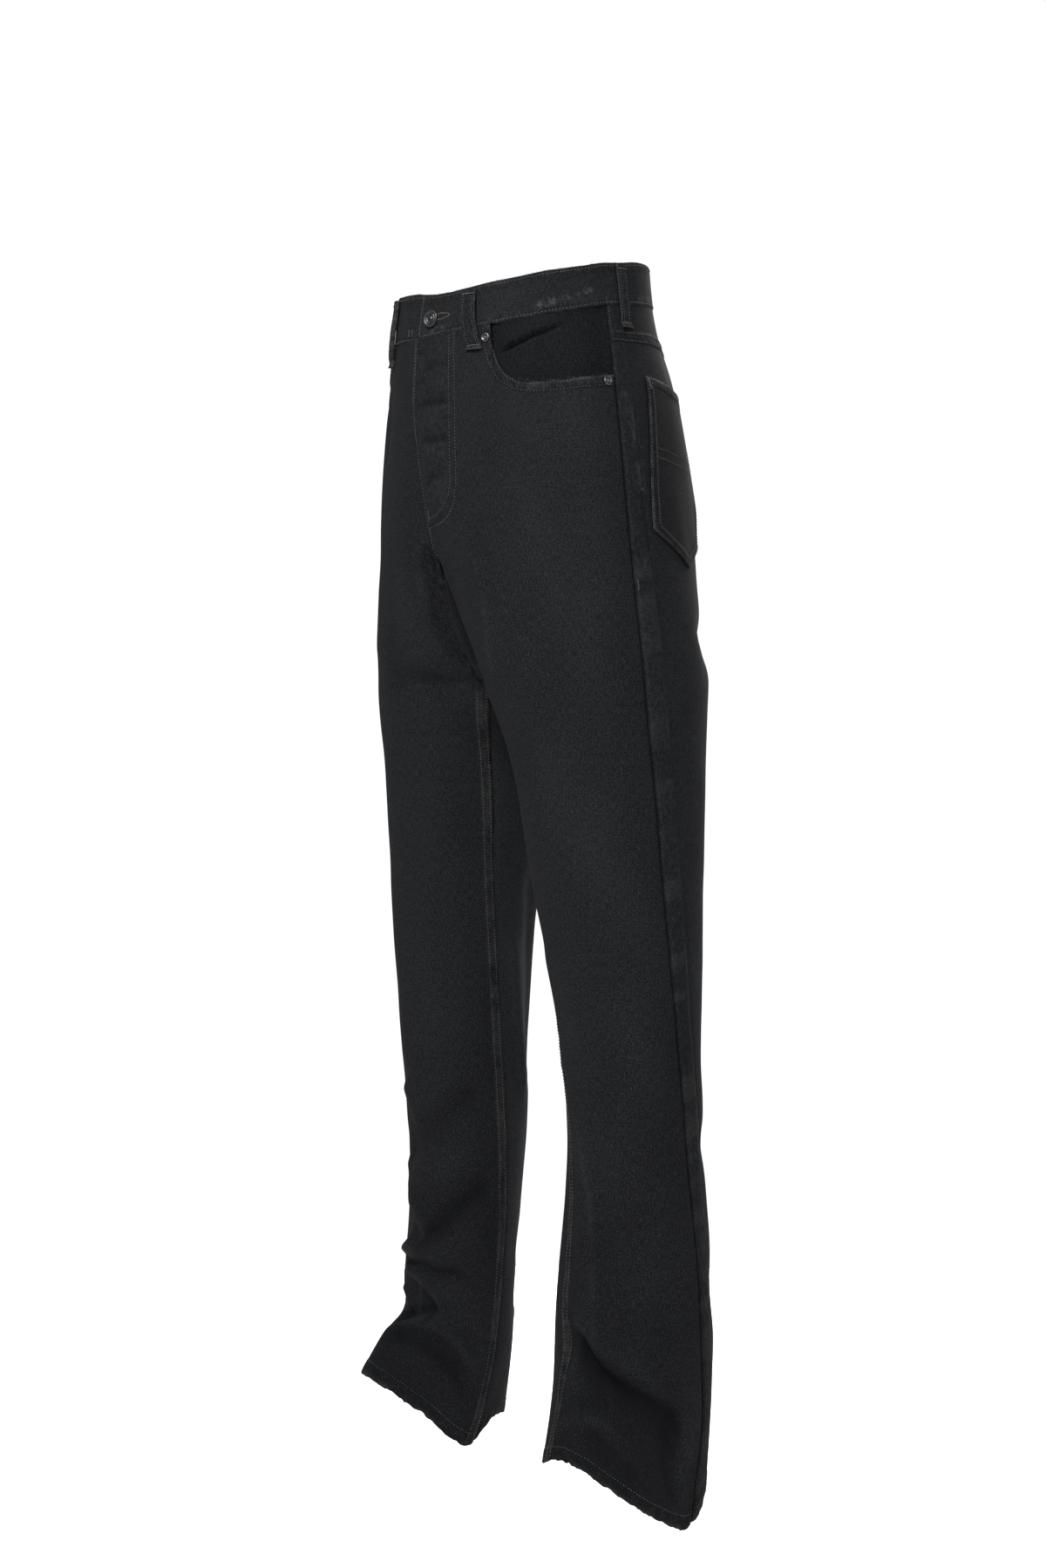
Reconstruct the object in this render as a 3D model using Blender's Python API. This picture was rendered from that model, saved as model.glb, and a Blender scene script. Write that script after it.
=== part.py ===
"""Regular fit five-pocket jeans with a button fly, as worn, with no wearer inside.

Metres, +Z up. The front of the garment faces -Y and the wearer's left is +X.
The origin is the middle of the waist opening, level with the waistband's top at the side seams.
Each half of the garment is one surface P(s, level). s runs from 0 at the centre front and inseam,
through 0.5 at the side seam, to 1 at the centre back and inseam. level is the height before the
waist and the hem are tilted. Every piece is cut out of that surface by its own s and level limits,
and what lies on or under a panel is made from the same points moved out or in.
"""
import bmesh
import bpy
import numpy as np
from mathutils import Matrix, Vector

# cloth
DENIM = 0.0016           # wall of a single panel
HEM_EXTRA = 0.0012       # a turned hem is thicker, inwards
HEM_DEPTH = 0.0140
SEAM = 0.00018           # each panel stops this far short of a seam line
LAYER_GAP = 0.0003       # between pieces that follow the same points
LAY = 0.0008             # between a panel and a cloth that lies on or behind it, over the facets of both

# levels and s values of the cut
BAND_DEPTH = 0.0410
PANEL_TOP = -0.0413
CROTCH_LEVEL = -0.392
CROTCH_Y = -0.038
HEM_LEVEL = -1.130
FRONT_RISE, FRONT_BEND = 0.29, 1.5
BACK_RISE, BACK_BEND = 0.175, 1.9
JOIN_SPREAD = 0.07       # below the crotch the inseams part over this length
BAND_DIP, BAND_LIFT, BAND_FADE = 0.026, 0.014, 0.22

# level, half width, front depth, back depth
TRUNK = (
    (0.000, 0.1450, 0.1140, 0.1120),
    (-0.040, 0.1480, 0.1190, 0.1170),
    (-0.060, 0.1520, 0.1200, 0.1215),
    (-0.115, 0.1630, 0.1230, 0.1410),
    (-0.160, 0.1710, 0.1240, 0.1505),
    (-0.210, 0.1790, 0.1240, 0.1570),
    (-0.260, 0.1850, 0.1235, 0.1605),
    (-0.325, 0.1910, 0.1220, 0.1600),
    (-0.392, 0.1960, 0.1200, 0.1560),
)

# level, centre x, centre y, half width, front half depth, back half depth, inseam turn, side seam turn
LEG_LEFT = (
    (-0.200, 0.0930, 0.0180, 0.0900, 0.1380, 0.1380, 20, 0),
    (-0.392, 0.0990, 0.0240, 0.0970, 0.1120, 0.1220, 12, -4),
    (-0.460, 0.1090, 0.0270, 0.0910, 0.0945, 0.1005, 4, -6),
    (-0.575, 0.1250, 0.0252, 0.0790, 0.0825, 0.0875, 12, 0),
    (-0.740, 0.1500, 0.0259, 0.0650, 0.0654, 0.0684, 34, 9),
    (-0.820, 0.1560, 0.0263, 0.0620, 0.0636, 0.0656, 40, 15),
    (-0.980, 0.1620, 0.0229, 0.0620, 0.0781, 0.0781, 32, 28),
    (-1.060, 0.1660, 0.0201, 0.0590, 0.0840, 0.0780, 40, 33),
    (-1.130, 0.1690, 0.0105, 0.0560, 0.0880, 0.0800, 46, 28),
)
LEG_RIGHT = (
    (-0.200, 0.0930, 0.0180, 0.0900, 0.1380, 0.1380, 26, 0),
    (-0.392, 0.1010, 0.0160, 0.0970, 0.1150, 0.1190, 26, 0),
    (-0.460, 0.1120, 0.0148, 0.0910, 0.0988, 0.1028, 21, -4),
    (-0.575, 0.1290, 0.0112, 0.0790, 0.0790, 0.0820, 10, -8),
    (-0.740, 0.1510, 0.0224, 0.0650, 0.0680, 0.0700, -4, -16),
    (-0.820, 0.1560, 0.0288, 0.0630, 0.0641, 0.0641, -7, -20),
    (-0.980, 0.1620, 0.0259, 0.0620, 0.0594, 0.0574, -13, -26),
    (-1.060, 0.1660, 0.0229, 0.0590, 0.0672, 0.0572, -8, -28),
    (-1.130, 0.1690, 0.0022, 0.0580, 0.0860, 0.0727, -4, -28),
)

# s, how far the hem hangs below the hem level
HEM_LEFT = (
    (0.0, -0.008), (0.0625, -0.010), (0.125, -0.018), (0.1875, -0.023), (0.25, -0.014), (0.3125, 0.006),
    (0.375, 0.028), (0.4375, 0.045), (0.49, 0.052), (0.53, 0.036), (0.5625, 0.024), (0.625, 0.018), (0.75, 0.020),
    (0.875, 0.008), (1.0, -0.008),
)
HEM_RIGHT = (
    (0.0, 0.045), (0.03, 0.043), (0.0625, 0.031), (0.125, 0.005), (0.1875, -0.012), (0.25, -0.023),
    (0.3125, -0.028), (0.375, -0.026), (0.4375, -0.014), (0.5, 0.002), (0.5625, 0.012), (0.625, 0.020),
    (0.75, 0.028), (0.875, 0.022), (0.95, 0.020), (0.975, 0.032), (1.0, 0.045),
)
HEM_TILT_TOP, HEM_TILT_BOTTOM = -0.892, -1.130

# s and level of both ends, half width in metres, push out in metres
FOLDS_LEFT = (
    (0.225, -1.026, 0.440, -1.086, 0.021, -0.0090),
    (0.200, -1.070, 0.400, -1.110, 0.020, 0.0040),
    (0.160, -0.800, 0.245, -1.000, 0.018, 0.0045),
    (0.080, -0.300, 0.080, -0.392, 0.022, -0.0050),
    (0.150, -0.250, 0.210, -0.400, 0.026, 0.0040),
    (0.700, -0.360, 0.900, -0.420, 0.026, -0.0025),
    (0.600, -0.960, 0.850, -1.010, 0.024, -0.0050),
)
FOLDS_RIGHT = (
    (0.240, -1.078, 0.030, -1.106, 0.018, 0.0060),
    (0.325, -1.036, 0.170, -1.047, 0.018, -0.0110),
    (0.430, -1.052, 0.260, -1.070, 0.018, -0.0100),
    (0.355, -0.990, 0.235, -0.940, 0.018, 0.0055),
    (0.370, -0.900, 0.350, -1.020, 0.026, -0.0050),
    (0.030, -0.280, 0.040, -0.370, 0.024, -0.0040),
    (0.700, -0.360, 0.900, -0.420, 0.026, -0.0025),
    (0.600, -0.960, 0.850, -1.010, 0.024, -0.0050),
)

# s, level of the yoke seam
YOKE = ((0.5, -0.0700), (0.69, -0.0770), (1.0, -0.0920))
# s, level along the front pocket's mouth, from the waistband to the side seam
MOUTH = (
    (0.2150, -0.0413), (0.2155, -0.0610), (0.2250, -0.0790), (0.2410, -0.0955), (0.2680, -0.1055),
    (0.2970, -0.1095), (0.3600, -0.1100), (0.4080, -0.1090), (0.4600, -0.1083), (0.5000, -0.1080),
)
FACING_INNER_S = 0.185
FACING_DROP = 0.014      # the facing goes on behind the mouth's edge
FACING = 0.0014
# left edge, point and right edge of a back pocket: s, level
POCKET_TOP = ((0.588, -0.1095), (0.865, -0.1270))
POCKET_FOOT = ((0.552, -0.2540), (0.650, -0.2870), (0.748, -0.2620))
POCKET = 0.0015

FLY_WIDTH = 0.046
FLY_FOOT = -0.246
FLY = 0.0012

BAND = 0.0030            # the waistband is two cloths and an inside
BAND_STANDS = 0.0008     # and stands proud of the panels
BAND_LAP = 0.0450        # the under end goes on this far past the centre front
LOOP_S = (0.161, 0.553)
LOOP_WIDTH = 0.0112
LOOP_CLOTH = 0.0018
LOOP_TOP, LOOP_FOOT = 0.0008, -0.0600
LOOP_ARCH = 0.0030

BUTTON_S, BUTTON_LEVEL, BUTTON_RADIUS = 0.0500, -0.0225, 0.0083
RIVETS = ((0.200, -0.0540), (0.4790, -0.1140))
RIVET_RADIUS = 0.0046

BODY_COLUMNS = 13
# levels of the rows above the crotch; those over FIXED_LEVEL close up under a lower top edge
ROWS_ABOVE = (
    -0.0413, -0.0640, -0.0860, -0.1100, -0.1400, -0.1700, -0.2000, -0.2240, -0.2460, -0.2700, -0.2960, -0.3220,
    -0.3450, -0.3640, -0.3780, -0.3870,
)
FIXED_LEVEL = -0.200
BELOW_ROWS = 25
# s of the front panel's first columns, which the fly follows
FRONT_S = (0.00045, 0.0140, 0.0320, 0.0580, 0.0880, 0.1280, 0.1700)


def column(table, place, level):
    """Smooth reading of one column of a table at a level."""
    z = np.array([row[0] for row in table])[::-1]
    v = np.array([row[place] for row in table])[::-1]
    slope = np.gradient(v, z)
    level = np.clip(level, z[0], z[-1])
    k = np.clip(np.searchsorted(z, level) - 1, 0, len(z) - 2)
    h = z[k + 1] - z[k]
    t = (level - z[k]) / h
    return (
        (2 * t**3 - 3 * t**2 + 1) * v[k]
        + (t**3 - 2 * t**2 + t) * h * slope[k]
        + (-2 * t**3 + 3 * t**2) * v[k + 1]
        + (t**3 - t**2) * h * slope[k + 1]
    )


def ease(x):
    """Smooth step from 0 to 1."""
    x = np.clip(x, 0, 1)
    return x * x * (3 - 2 * x)


def read(table, s):
    """Straight-line reading of a two-column table."""
    return np.interp(s, [row[0] for row in table], [row[1] for row in table])


def trunk(s, level):
    """Hip section: a half loop from the centre front to the centre back."""
    half, front, back = (column(TRUNK, k, level) for k in (1, 2, 3))
    turn = np.pi * s
    return half * np.sin(turn), -np.where(s < 0.5, front, back) * np.cos(turn)


def leg(table, s, level):
    """Leg section: a closed loop from the inseam round to the inseam."""
    cx, cy, half, front, back, turn_in, turn_out = (column(table, k, level) for k in range(1, 8))
    start = np.radians(turn_in)
    side = np.pi + np.radians(turn_out)
    whole = 2 * np.pi + start
    turn = np.where(s < 0.5, start + (side - start) * 2 * s, side + (whole - side) * (2 * s - 1))
    depth = np.where(np.sin(turn) > 0, front, back)
    return cx - half * np.cos(turn), cy - depth * np.sin(turn)


def rise(level, height, bend):
    """Shape of the rise seam: 0 at the crotch, 1 where it has met the trunk."""
    up = np.clip((level - CROTCH_LEVEL) / height, 0, 1)
    return (1 - (1 - up) ** bend) ** (1 / bend)


def smooth_surface(side, s, level):
    """The cloth's outer face without its folds, side +1 for the wearer's left."""
    table = LEG_LEFT if side > 0 else LEG_RIGHT
    tx, ty = trunk(s, level)
    lx, ly = leg(table, s, level)
    end = 1 - np.where(s < 0.5, rise(level, FRONT_RISE, FRONT_BEND), rise(level, BACK_RISE, BACK_BEND))
    bow = np.clip(np.sin(np.pi * s), 0, 1)
    inner = ease(bow * 1.15)
    weight = end ** (1 + 2.2 * bow**0.7) * (1 - inner) + ease((-0.20 - level) / 0.32) * inner
    inseam_x, inseam_y = leg(table, np.zeros_like(level), level)
    near = ease(1 - bow * 2.6) * ease(1 - (CROTCH_LEVEL - level) / JOIN_SPREAD)
    lx = lx - near * inseam_x
    ly = ly - near * (inseam_y - CROTCH_Y)
    x = np.maximum((1 - weight) * tx + weight * lx, SEAM)
    y = (1 - weight) * ty + weight * ly
    c = np.cos(np.pi * s)
    z = level - ease(1 + level / BAND_FADE) * np.where(c > 0, BAND_DIP, BAND_LIFT) * c
    hem = ease((HEM_TILT_TOP - level) / (HEM_TILT_TOP - HEM_TILT_BOTTOM))
    hang = HEM_LEFT if side > 0 else HEM_RIGHT
    drop = (read(hang, (s - 0.02) % 1) + 2 * read(hang, s) + read(hang, (s + 0.02) % 1)) / 4
    z = z - hem * drop
    return np.stack([side * x, y, z], axis=-1)


def normals(side, s, level, shape):
    """Outward unit normals of a surface function."""
    e, f = 0.002, 0.0015
    s0, s1 = np.clip(s - e, 0, 1), np.clip(s + e, 0, 1)
    across = shape(side, s1, level) - shape(side, s0, level)
    down = shape(side, s, level - f) - shape(side, s, level + f)
    n = np.cross(down, across) * side
    return n / np.maximum(np.linalg.norm(n, axis=-1, keepdims=True), 1e-12)


def folded(side, s, level):
    """The outer face with its large folds."""
    p = smooth_surface(side, s, level)
    push = np.zeros_like(level)
    for s0, z0, s1, z1, width, depth in FOLDS_LEFT if side > 0 else FOLDS_RIGHT:
        ax, ay = (s1 - s0) * 0.42, z1 - z0
        px, py = (s - s0) * 0.42, level - z0
        along = (px * ax + py * ay) / (ax * ax + ay * ay)
        off = (px * ay - py * ax) / np.hypot(ax, ay)
        reach = ease(1 - np.abs(along - 0.5) * 2 / 1.5 + 0.25)
        push = push + depth * reach * np.exp(-((off / width) ** 2))
    return p + normals(side, s, level, smooth_surface) * push[..., None]


def cloth(side, s, level, out=0.0):
    """A point on the outer face, or moved out from it (negative: in)."""
    s, level = np.broadcast_arrays(np.asarray(s, float), np.asarray(level, float))
    p = folded(side, s, level)
    q = p + normals(side, s, level, folded) * np.asarray(out)[..., None]
    q[..., 0] = side * np.maximum(side * q[..., 0], SEAM)
    return q


def around(turn, level, out=0.0):
    """A point of the whole trunk: turn 0 centre front, +0.5 left seam, -0.5 right seam, 1 centre back."""
    turn = (np.asarray(turn, float) + 1) % 2 - 1
    s = np.abs(turn)
    s, level = np.broadcast_arrays(s, np.asarray(level, float))
    p = smooth_surface(1, s, level)
    n = normals(1, s, level, smooth_surface)
    q = p + n * np.broadcast_to(np.asarray(out, float), s.shape)[..., None]
    q[..., 0] = np.where(s < 1e-9, 0, q[..., 0] - SEAM * (1 - ease(s * 40)) - SEAM * (1 - ease((1 - s) * 40)))
    q[..., 0] = q[..., 0] * np.where(turn < 0, -1, 1)
    return q


def material(name, colour, roughness, metal=0.0):
    """A plain Principled material."""
    m = bpy.data.materials.new(name)
    m.use_nodes = True
    shader = m.node_tree.nodes["Principled BSDF"]
    shader.inputs["Base Color"].default_value = (*colour, 1.0)
    shader.inputs["Roughness"].default_value = roughness
    shader.inputs["Metallic"].default_value = metal
    m.diffuse_color = (*colour, 1.0)
    return m


def slab(name, outer, inner, mat, ring=False):
    """A closed wall between two grids of points, rows by columns; ring joins the last column to the first."""
    rows, cols = outer.shape[:2]
    bm = bmesh.new()
    top = [[bm.verts.new(outer[i, j]) for j in range(cols)] for i in range(rows)]
    low = [[bm.verts.new(inner[i, j]) for j in range(cols)] for i in range(rows)]
    span = cols if ring else cols - 1
    for i in range(rows - 1):
        for j in range(span):
            k = (j + 1) % cols
            bm.faces.new((top[i][j], top[i + 1][j], top[i + 1][k], top[i][k]))
            bm.faces.new((low[i][j], low[i][k], low[i + 1][k], low[i + 1][j]))
    for j in range(span):
        k = (j + 1) % cols
        bm.faces.new((top[0][j], top[0][k], low[0][k], low[0][j]))
        bm.faces.new((top[-1][j], low[-1][j], low[-1][k], top[-1][k]))
    if not ring:
        for i in range(rows - 1):
            bm.faces.new((top[i][0], low[i][0], low[i + 1][0], top[i + 1][0]))
            bm.faces.new((top[i][-1], top[i + 1][-1], low[i + 1][-1], low[i][-1]))
    return place(name, bm, mat)


def turned(name, profile, centre, axis, mat, segments=20):
    """A closed turned piece from a profile of (radius, height) pairs that starts and ends on the axis."""
    bm = bmesh.new()
    turn = Vector((0, 0, 1)).rotation_difference(Vector(axis)).to_matrix().to_4x4()
    frame = Matrix.Translation(Vector(centre)) @ turn
    rings = []
    for radius, height in profile:
        if radius == 0:
            rings.append([bm.verts.new(frame @ Vector((0, 0, height)))])
            continue
        angles = [2 * np.pi * k / segments for k in range(segments)]
        rings.append([bm.verts.new(frame @ Vector((radius * np.cos(a), radius * np.sin(a), height))) for a in angles])
    for low, high in zip(rings, rings[1:]):
        for k in range(segments):
            n = (k + 1) % segments
            corners = [low[k % len(low)], low[n % len(low)], high[n % len(high)], high[k % len(high)]]
            bm.faces.new(list(dict.fromkeys(corners)))
    return place(name, bm, mat)


def place(name, bm, mat):
    """Turns a bmesh into a smooth-shaded object of the garment's collection."""
    bmesh.ops.recalc_face_normals(bm, faces=bm.faces)
    mesh = bpy.data.meshes.new(name)
    bm.to_mesh(mesh)
    bm.free()
    mesh.materials.append(mat)
    mesh.shade_smooth()
    mesh.set_sharp_from_angle(angle=np.radians(40))
    ob = bpy.data.objects.new(name, mesh)
    COLLECTION.objects.link(ob)
    return ob


def body_levels(top):
    """Levels of a panel's rows, from its top edge to the hem."""
    rows = np.array(ROWS_ABOVE)[:, None]
    share = np.clip((rows - FIXED_LEVEL) / (ROWS_ABOVE[0] - FIXED_LEVEL), 0, 1)
    above = rows + (top[None, :] - ROWS_ABOVE[0]) * share
    below = np.linspace(0, 1, BELOW_ROWS)
    below = below - 0.075 * np.sin(2 * np.pi * below) * np.where(below > 0.5, 1.0, 0.4)
    under = CROTCH_LEVEL + (HEM_LEVEL - CROTCH_LEVEL) * below[:, None]
    return np.concatenate([above, np.broadcast_to(under, (BELOW_ROWS, len(top)))])


def panel_wall(name, side, s, level, mat):
    """A leg panel: single cloth, thicker at its turned hem."""
    wall = DENIM + HEM_EXTRA * (level < HEM_LEVEL + HEM_DEPTH)
    return slab(name, cloth(side, s, level), cloth(side, s, level, -wall), mat)


def hem_row(level):
    """Adds the row where the hem's turned edge ends."""
    k = int(np.argmin(np.abs(level[:, 0] - (HEM_LEVEL + HEM_DEPTH))[:-1]))
    level[k] = HEM_LEVEL + HEM_DEPTH * 0.98
    return level


def front_panel(name, side, mat):
    """Front leg panel with the pocket's mouth cut out of its outer top corner."""
    inner, outer = seam_s(side)
    mouth = [(min(s, outer), z) for s, z in MOUTH]
    top_s = np.concatenate([FRONT_S, [m[0] for m in mouth]])
    top_z = np.concatenate([np.full(len(FRONT_S), PANEL_TOP), [m[1] for m in mouth]])
    foot_s = np.linspace(inner, outer, len(top_s))
    level = hem_row(body_levels(top_z))
    early = ease((top_z[None, :] - level) / 0.16) * (np.arange(len(top_s)) >= len(FRONT_S))
    toward_foot = np.maximum(early, ease((-0.25 - level) / 0.13))
    s = top_s[None, :] * (1 - toward_foot) + foot_s[None, :] * toward_foot
    return panel_wall(name, side, s, level, mat)


def seam_s(side):
    """s of the inner and outer edge of a front panel, just short of its seams."""
    return 0.00045, 0.5 - 0.00045


def back_panel(name, side, mat):
    """Back leg panel, under the yoke."""
    inner, outer = seam_s(side)
    s = np.linspace(1 - outer, 1 - inner, BODY_COLUMNS)
    top = read(YOKE, s) - LAYER_GAP
    level = hem_row(body_levels(top))
    return panel_wall(name, side, np.broadcast_to(s, level.shape), level, mat)


def yoke(name, side, mat):
    """Shaped piece between the waistband and the back panel."""
    inner, outer = seam_s(side)
    s = np.linspace(1 - outer, 1 - inner, BODY_COLUMNS)
    down = np.linspace(0, 1, 5)[:, None]
    level = PANEL_TOP + (read(YOKE, s) - PANEL_TOP)[None, :] * down
    s = np.broadcast_to(s, level.shape)
    return slab(name, cloth(side, s, level), cloth(side, s, level, -DENIM), mat)


def patch(name, side, s, level, low, thick, mat):
    """A piece that lies on a panel (low over 0) or behind it (low under 0)."""
    return slab(name, cloth(side, s, level, low + thick), cloth(side, s, level, low), mat)


def facing(name, side, mat):
    """Denim behind the front pocket's mouth."""
    inner, outer = seam_s(side)
    s = np.linspace(FACING_INNER_S, outer, 11)
    foot = read(MOUTH, np.clip(s, MOUTH[2][0], 1)) - FACING_DROP
    foot = np.where(s < MOUTH[3][0], read(((FACING_INNER_S, -0.085), (MOUTH[3][0], -0.115)), s), foot)
    down = np.linspace(0, 1, 6)[:, None]
    level = PANEL_TOP + (foot - PANEL_TOP)[None, :] * down
    s = np.broadcast_to(s, level.shape)
    return patch(name, side, s, level, -DENIM - LAY - FACING, FACING, mat)


def back_pocket(name, side, mat):
    """Five-sided patch pocket on the back panel."""
    across = np.linspace(0, 1, 11)
    top = np.array(POCKET_TOP)
    top_s = top[0, 0] + (top[1, 0] - top[0, 0]) * across
    top_z = top[0, 1] + (top[1, 1] - top[0, 1]) * across
    foot_s = np.interp(across, (0, 0.5, 1), [f[0] for f in POCKET_FOOT])
    foot_z = np.interp(across, (0, 0.5, 1), [f[1] for f in POCKET_FOOT])
    down = np.linspace(0, 1, 9)[:, None]
    s = top_s + (foot_s - top_s) * down
    level = top_z + (foot_z - top_z) * down
    return patch(name, side, s, level, LAY, POCKET, mat)


def fly_strip(name, side, width, depth, thick, mat):
    """The strip behind the left front that the fly buttons onto, rounded at its foot."""
    level = np.array([z for z in ROWS_ABOVE if z >= FLY_FOOT - 1e-6])[:, None]
    down = (level - PANEL_TOP) / (FLY_FOOT - PANEL_TOP)
    reach = width / 0.43 * np.sqrt(1 - 0.93 * np.clip((down - 0.70) / 0.30, 0, 1) ** 2)
    s = np.minimum(np.array(FRONT_S[:5] + (0.2,))[None, :], reach)
    s = np.maximum.accumulate(s + np.arange(6)[None, :] * 1e-4, axis=1)
    level = np.broadcast_to(level, s.shape)
    return patch(name, side, s, level, -depth - thick, thick, mat)


def waistband(name, mat):
    """Band that goes once round the waist, its under end lapped behind the over end at the centre front."""
    lap = BAND_LAP / 0.43
    turns = np.concatenate([
        np.linspace(0.004, 0.5, 20),
        np.linspace(0.5, 1.5, 31)[1:-1],
        np.linspace(1.5, 1.93, 16),
        np.linspace(1.945, 1.995, 4),
        np.linspace(2.005, 2 + lap, 8),
    ])
    under = ease((turns - 1.92) / 0.075)
    shift = BAND_STANDS - under * (BAND + LAYER_GAP + 0.0001)
    level = np.array([-0.0003, -0.0140, -0.0280, -BAND_DEPTH])[:, None]
    turns, level = np.broadcast_arrays(turns[None, :], level)
    outer = around(turns, level, shift)
    inner = around(turns, level, shift - BAND)
    return slab(name, outer, inner, mat)


def belt_loop(name, turn, mat):
    """Strap that stands off the waistband and comes down onto the yoke or the front."""
    down = np.linspace(0, 1, 11)
    level = LOOP_TOP + (LOOP_FOOT - LOOP_TOP) * down
    arch = LOOP_ARCH * np.sin(np.pi * np.clip(down / 0.86, 0, 1)) ** 0.7
    stand = BAND_STANDS + LAYER_GAP + arch
    stand = stand - (BAND_STANDS + 0.0) * ease((down - 0.80) / 0.12)
    middle = around(np.full(11, turn), level)
    n = around(np.full(11, turn), level, 1.0) - middle
    n[:, 2] = 0
    n = n / np.linalg.norm(n, axis=1, keepdims=True)
    along = np.cross(n, (0, 0, 1.0))
    across = np.linspace(-0.5, 0.5, 3)[None, :, None] * LOOP_WIDTH * along[:, None, :]
    bend = -np.linspace(-0.5, 0.5, 3)[None, :, None] ** 2 * 0.0008 * n[:, None, :] * 4
    outer = middle[:, None] + across + bend + n[:, None] * (stand + 0.0006 + LOOP_CLOTH)[:, None, None]
    inner = middle[:, None] + across + bend + n[:, None] * (stand + 0.0006)[:, None, None]
    return slab(name, outer, inner, mat)


def stud(name, turn_or_side, s, level, rest, profile, mat, segments):
    """A metal piece seated on the cloth."""
    base = cloth(turn_or_side, s, level)
    n = normals(turn_or_side, np.array(float(s)), np.array(float(level)), folded)
    return turned(name, profile, base + n * rest, n, mat, segments)


def build():
    """Builds every piece of the jeans."""
    denim = material("denim", (0.035, 0.036, 0.040), 0.92)
    inside = material("denim_facing", (0.030, 0.031, 0.035), 0.92)
    metal = material("button_metal", (0.16, 0.15, 0.14), 0.42, 1.0)
    rivet = material("rivet_metal", (0.30, 0.28, 0.26), 0.40, 1.0)
    for side, word in ((1, "left"), (-1, "right")):
        front_panel("front_" + word, side, denim)
        back_panel("back_" + word, side, denim)
        yoke("yoke_" + word, side, denim)
        facing("pocket_facing_" + word, side, inside)
        back_pocket("back_pocket_" + word, side, denim)
        for k, (s, level) in enumerate(RIVETS):
            profile = ((0, 0), (RIVET_RADIUS, 0), (RIVET_RADIUS, 0.0005), (0.0036, 0.0012), (0.0016, 0.0012),
                       (0.0012, 0.0018), (0, 0.0019))
            stud(f"rivet_{word}_{k + 1}", side, s, level, LAYER_GAP + 0.0001, profile, rivet, 14)
        belt_loop("belt_loop_front_" + word, side * LOOP_S[0], denim)
        belt_loop("belt_loop_side_" + word, side * LOOP_S[1], denim)
    belt_loop("belt_loop_back", 1.0, denim)
    waistband("waistband", denim)
    fly_strip("button_placket", 1, FLY_WIDTH, DENIM + LAY, FLY, inside)
    cap = ((0, 0), (0.0034, 0), (0.0034, 0.0018), (BUTTON_RADIUS - 0.0008, 0.0018), (BUTTON_RADIUS, 0.0026),
           (BUTTON_RADIUS - 0.0004, 0.0036), (BUTTON_RADIUS - 0.0016, 0.0040), (0.0052, 0.0033), (0.0030, 0.0034),
           (0, 0.0038))
    stud("shank_button", 1, BUTTON_S, BUTTON_LEVEL, BAND_STANDS + LAYER_GAP, cap, metal, 24)


for old in list(bpy.data.objects):
    bpy.data.objects.remove(old, do_unlink=True)
COLLECTION = bpy.data.collections.new("regular_fit_jeans")
bpy.context.scene.collection.children.link(COLLECTION)
build()
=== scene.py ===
"""Looks of the regular fit jeans: cloth, stitching, worn edges and metal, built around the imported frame.

Metres, +Z up. The front of the garment faces -Y and the wearer's left is +X.
Each half of the garment is the surface that the solids are cut from, P(s, level). s runs from 0 at the
centre front and inseam, through 0.5 at the side seam, to 1 at the centre back and inseam. level is the height
before the waist and the hem are tilted. The cloth here is that surface again, finer, with creases and seams.
"""
import logging
from dataclasses import dataclass
from enum import Enum
from typing import Callable

import bmesh
import bpy
import numpy as np
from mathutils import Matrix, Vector


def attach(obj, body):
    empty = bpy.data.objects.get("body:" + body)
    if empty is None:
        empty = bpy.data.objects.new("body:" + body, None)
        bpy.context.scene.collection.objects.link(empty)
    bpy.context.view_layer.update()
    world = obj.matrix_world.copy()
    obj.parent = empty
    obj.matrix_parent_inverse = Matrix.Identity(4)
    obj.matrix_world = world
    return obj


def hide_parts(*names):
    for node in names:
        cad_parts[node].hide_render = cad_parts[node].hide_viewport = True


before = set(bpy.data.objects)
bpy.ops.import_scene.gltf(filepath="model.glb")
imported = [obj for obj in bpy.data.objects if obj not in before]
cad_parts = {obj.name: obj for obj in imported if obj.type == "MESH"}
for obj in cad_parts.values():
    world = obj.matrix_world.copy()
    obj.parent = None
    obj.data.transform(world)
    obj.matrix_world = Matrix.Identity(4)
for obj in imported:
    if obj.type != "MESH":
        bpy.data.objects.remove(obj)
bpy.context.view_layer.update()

LOG = logging.getLogger("jeans")
TINY = 1e-12
Array = np.ndarray
Line = tuple[tuple[float, float], ...]
Table = tuple[tuple[float, ...], ...]
Face = Callable[..., Array]
Runs = list[tuple[Array, Array]]
Colour = tuple[float, float, float]
Size = tuple[float, float]
Piece = bpy.types.Object
Finish = bpy.types.Material
Socket = bpy.types.NodeSocket

# cloth, hems and seams, in metres
DENIM = 0.0016
HEM_EXTRA = 0.0012
HEM_DEPTH = 0.0140
HEM_ROW = 0.0118
HEM_FELL = 0.0125
HEM_PUCKER = 0.0135
SEAM = 0.00018
LAYER_GAP = 0.0003
LAY = 0.0008

# levels, and how far the panels reach up inside the waistband
PANEL_TOP = -0.0413
TUCK = 0.0018
FIXED_LEVEL = -0.200
CROTCH_LEVEL = -0.392
CROTCH_Y = -0.038
HEM_TILT_TOP = -0.892
HEM_LEVEL = -1.130

# how the rise seams curve, the legs join, the waist slopes and the hem's hang is smoothed
FRONT_RISE, FRONT_BEND = 0.29, 1.5
BACK_RISE, BACK_BEND = 0.175, 1.9
JOIN_SPREAD = 0.07
BAND_DIP, BAND_LIFT, BAND_FADE = 0.026, 0.014, 0.22
HANG_BLUR = 0.02

# rows of a leg panel above the crotch
RISE_ROWS = 149

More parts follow.
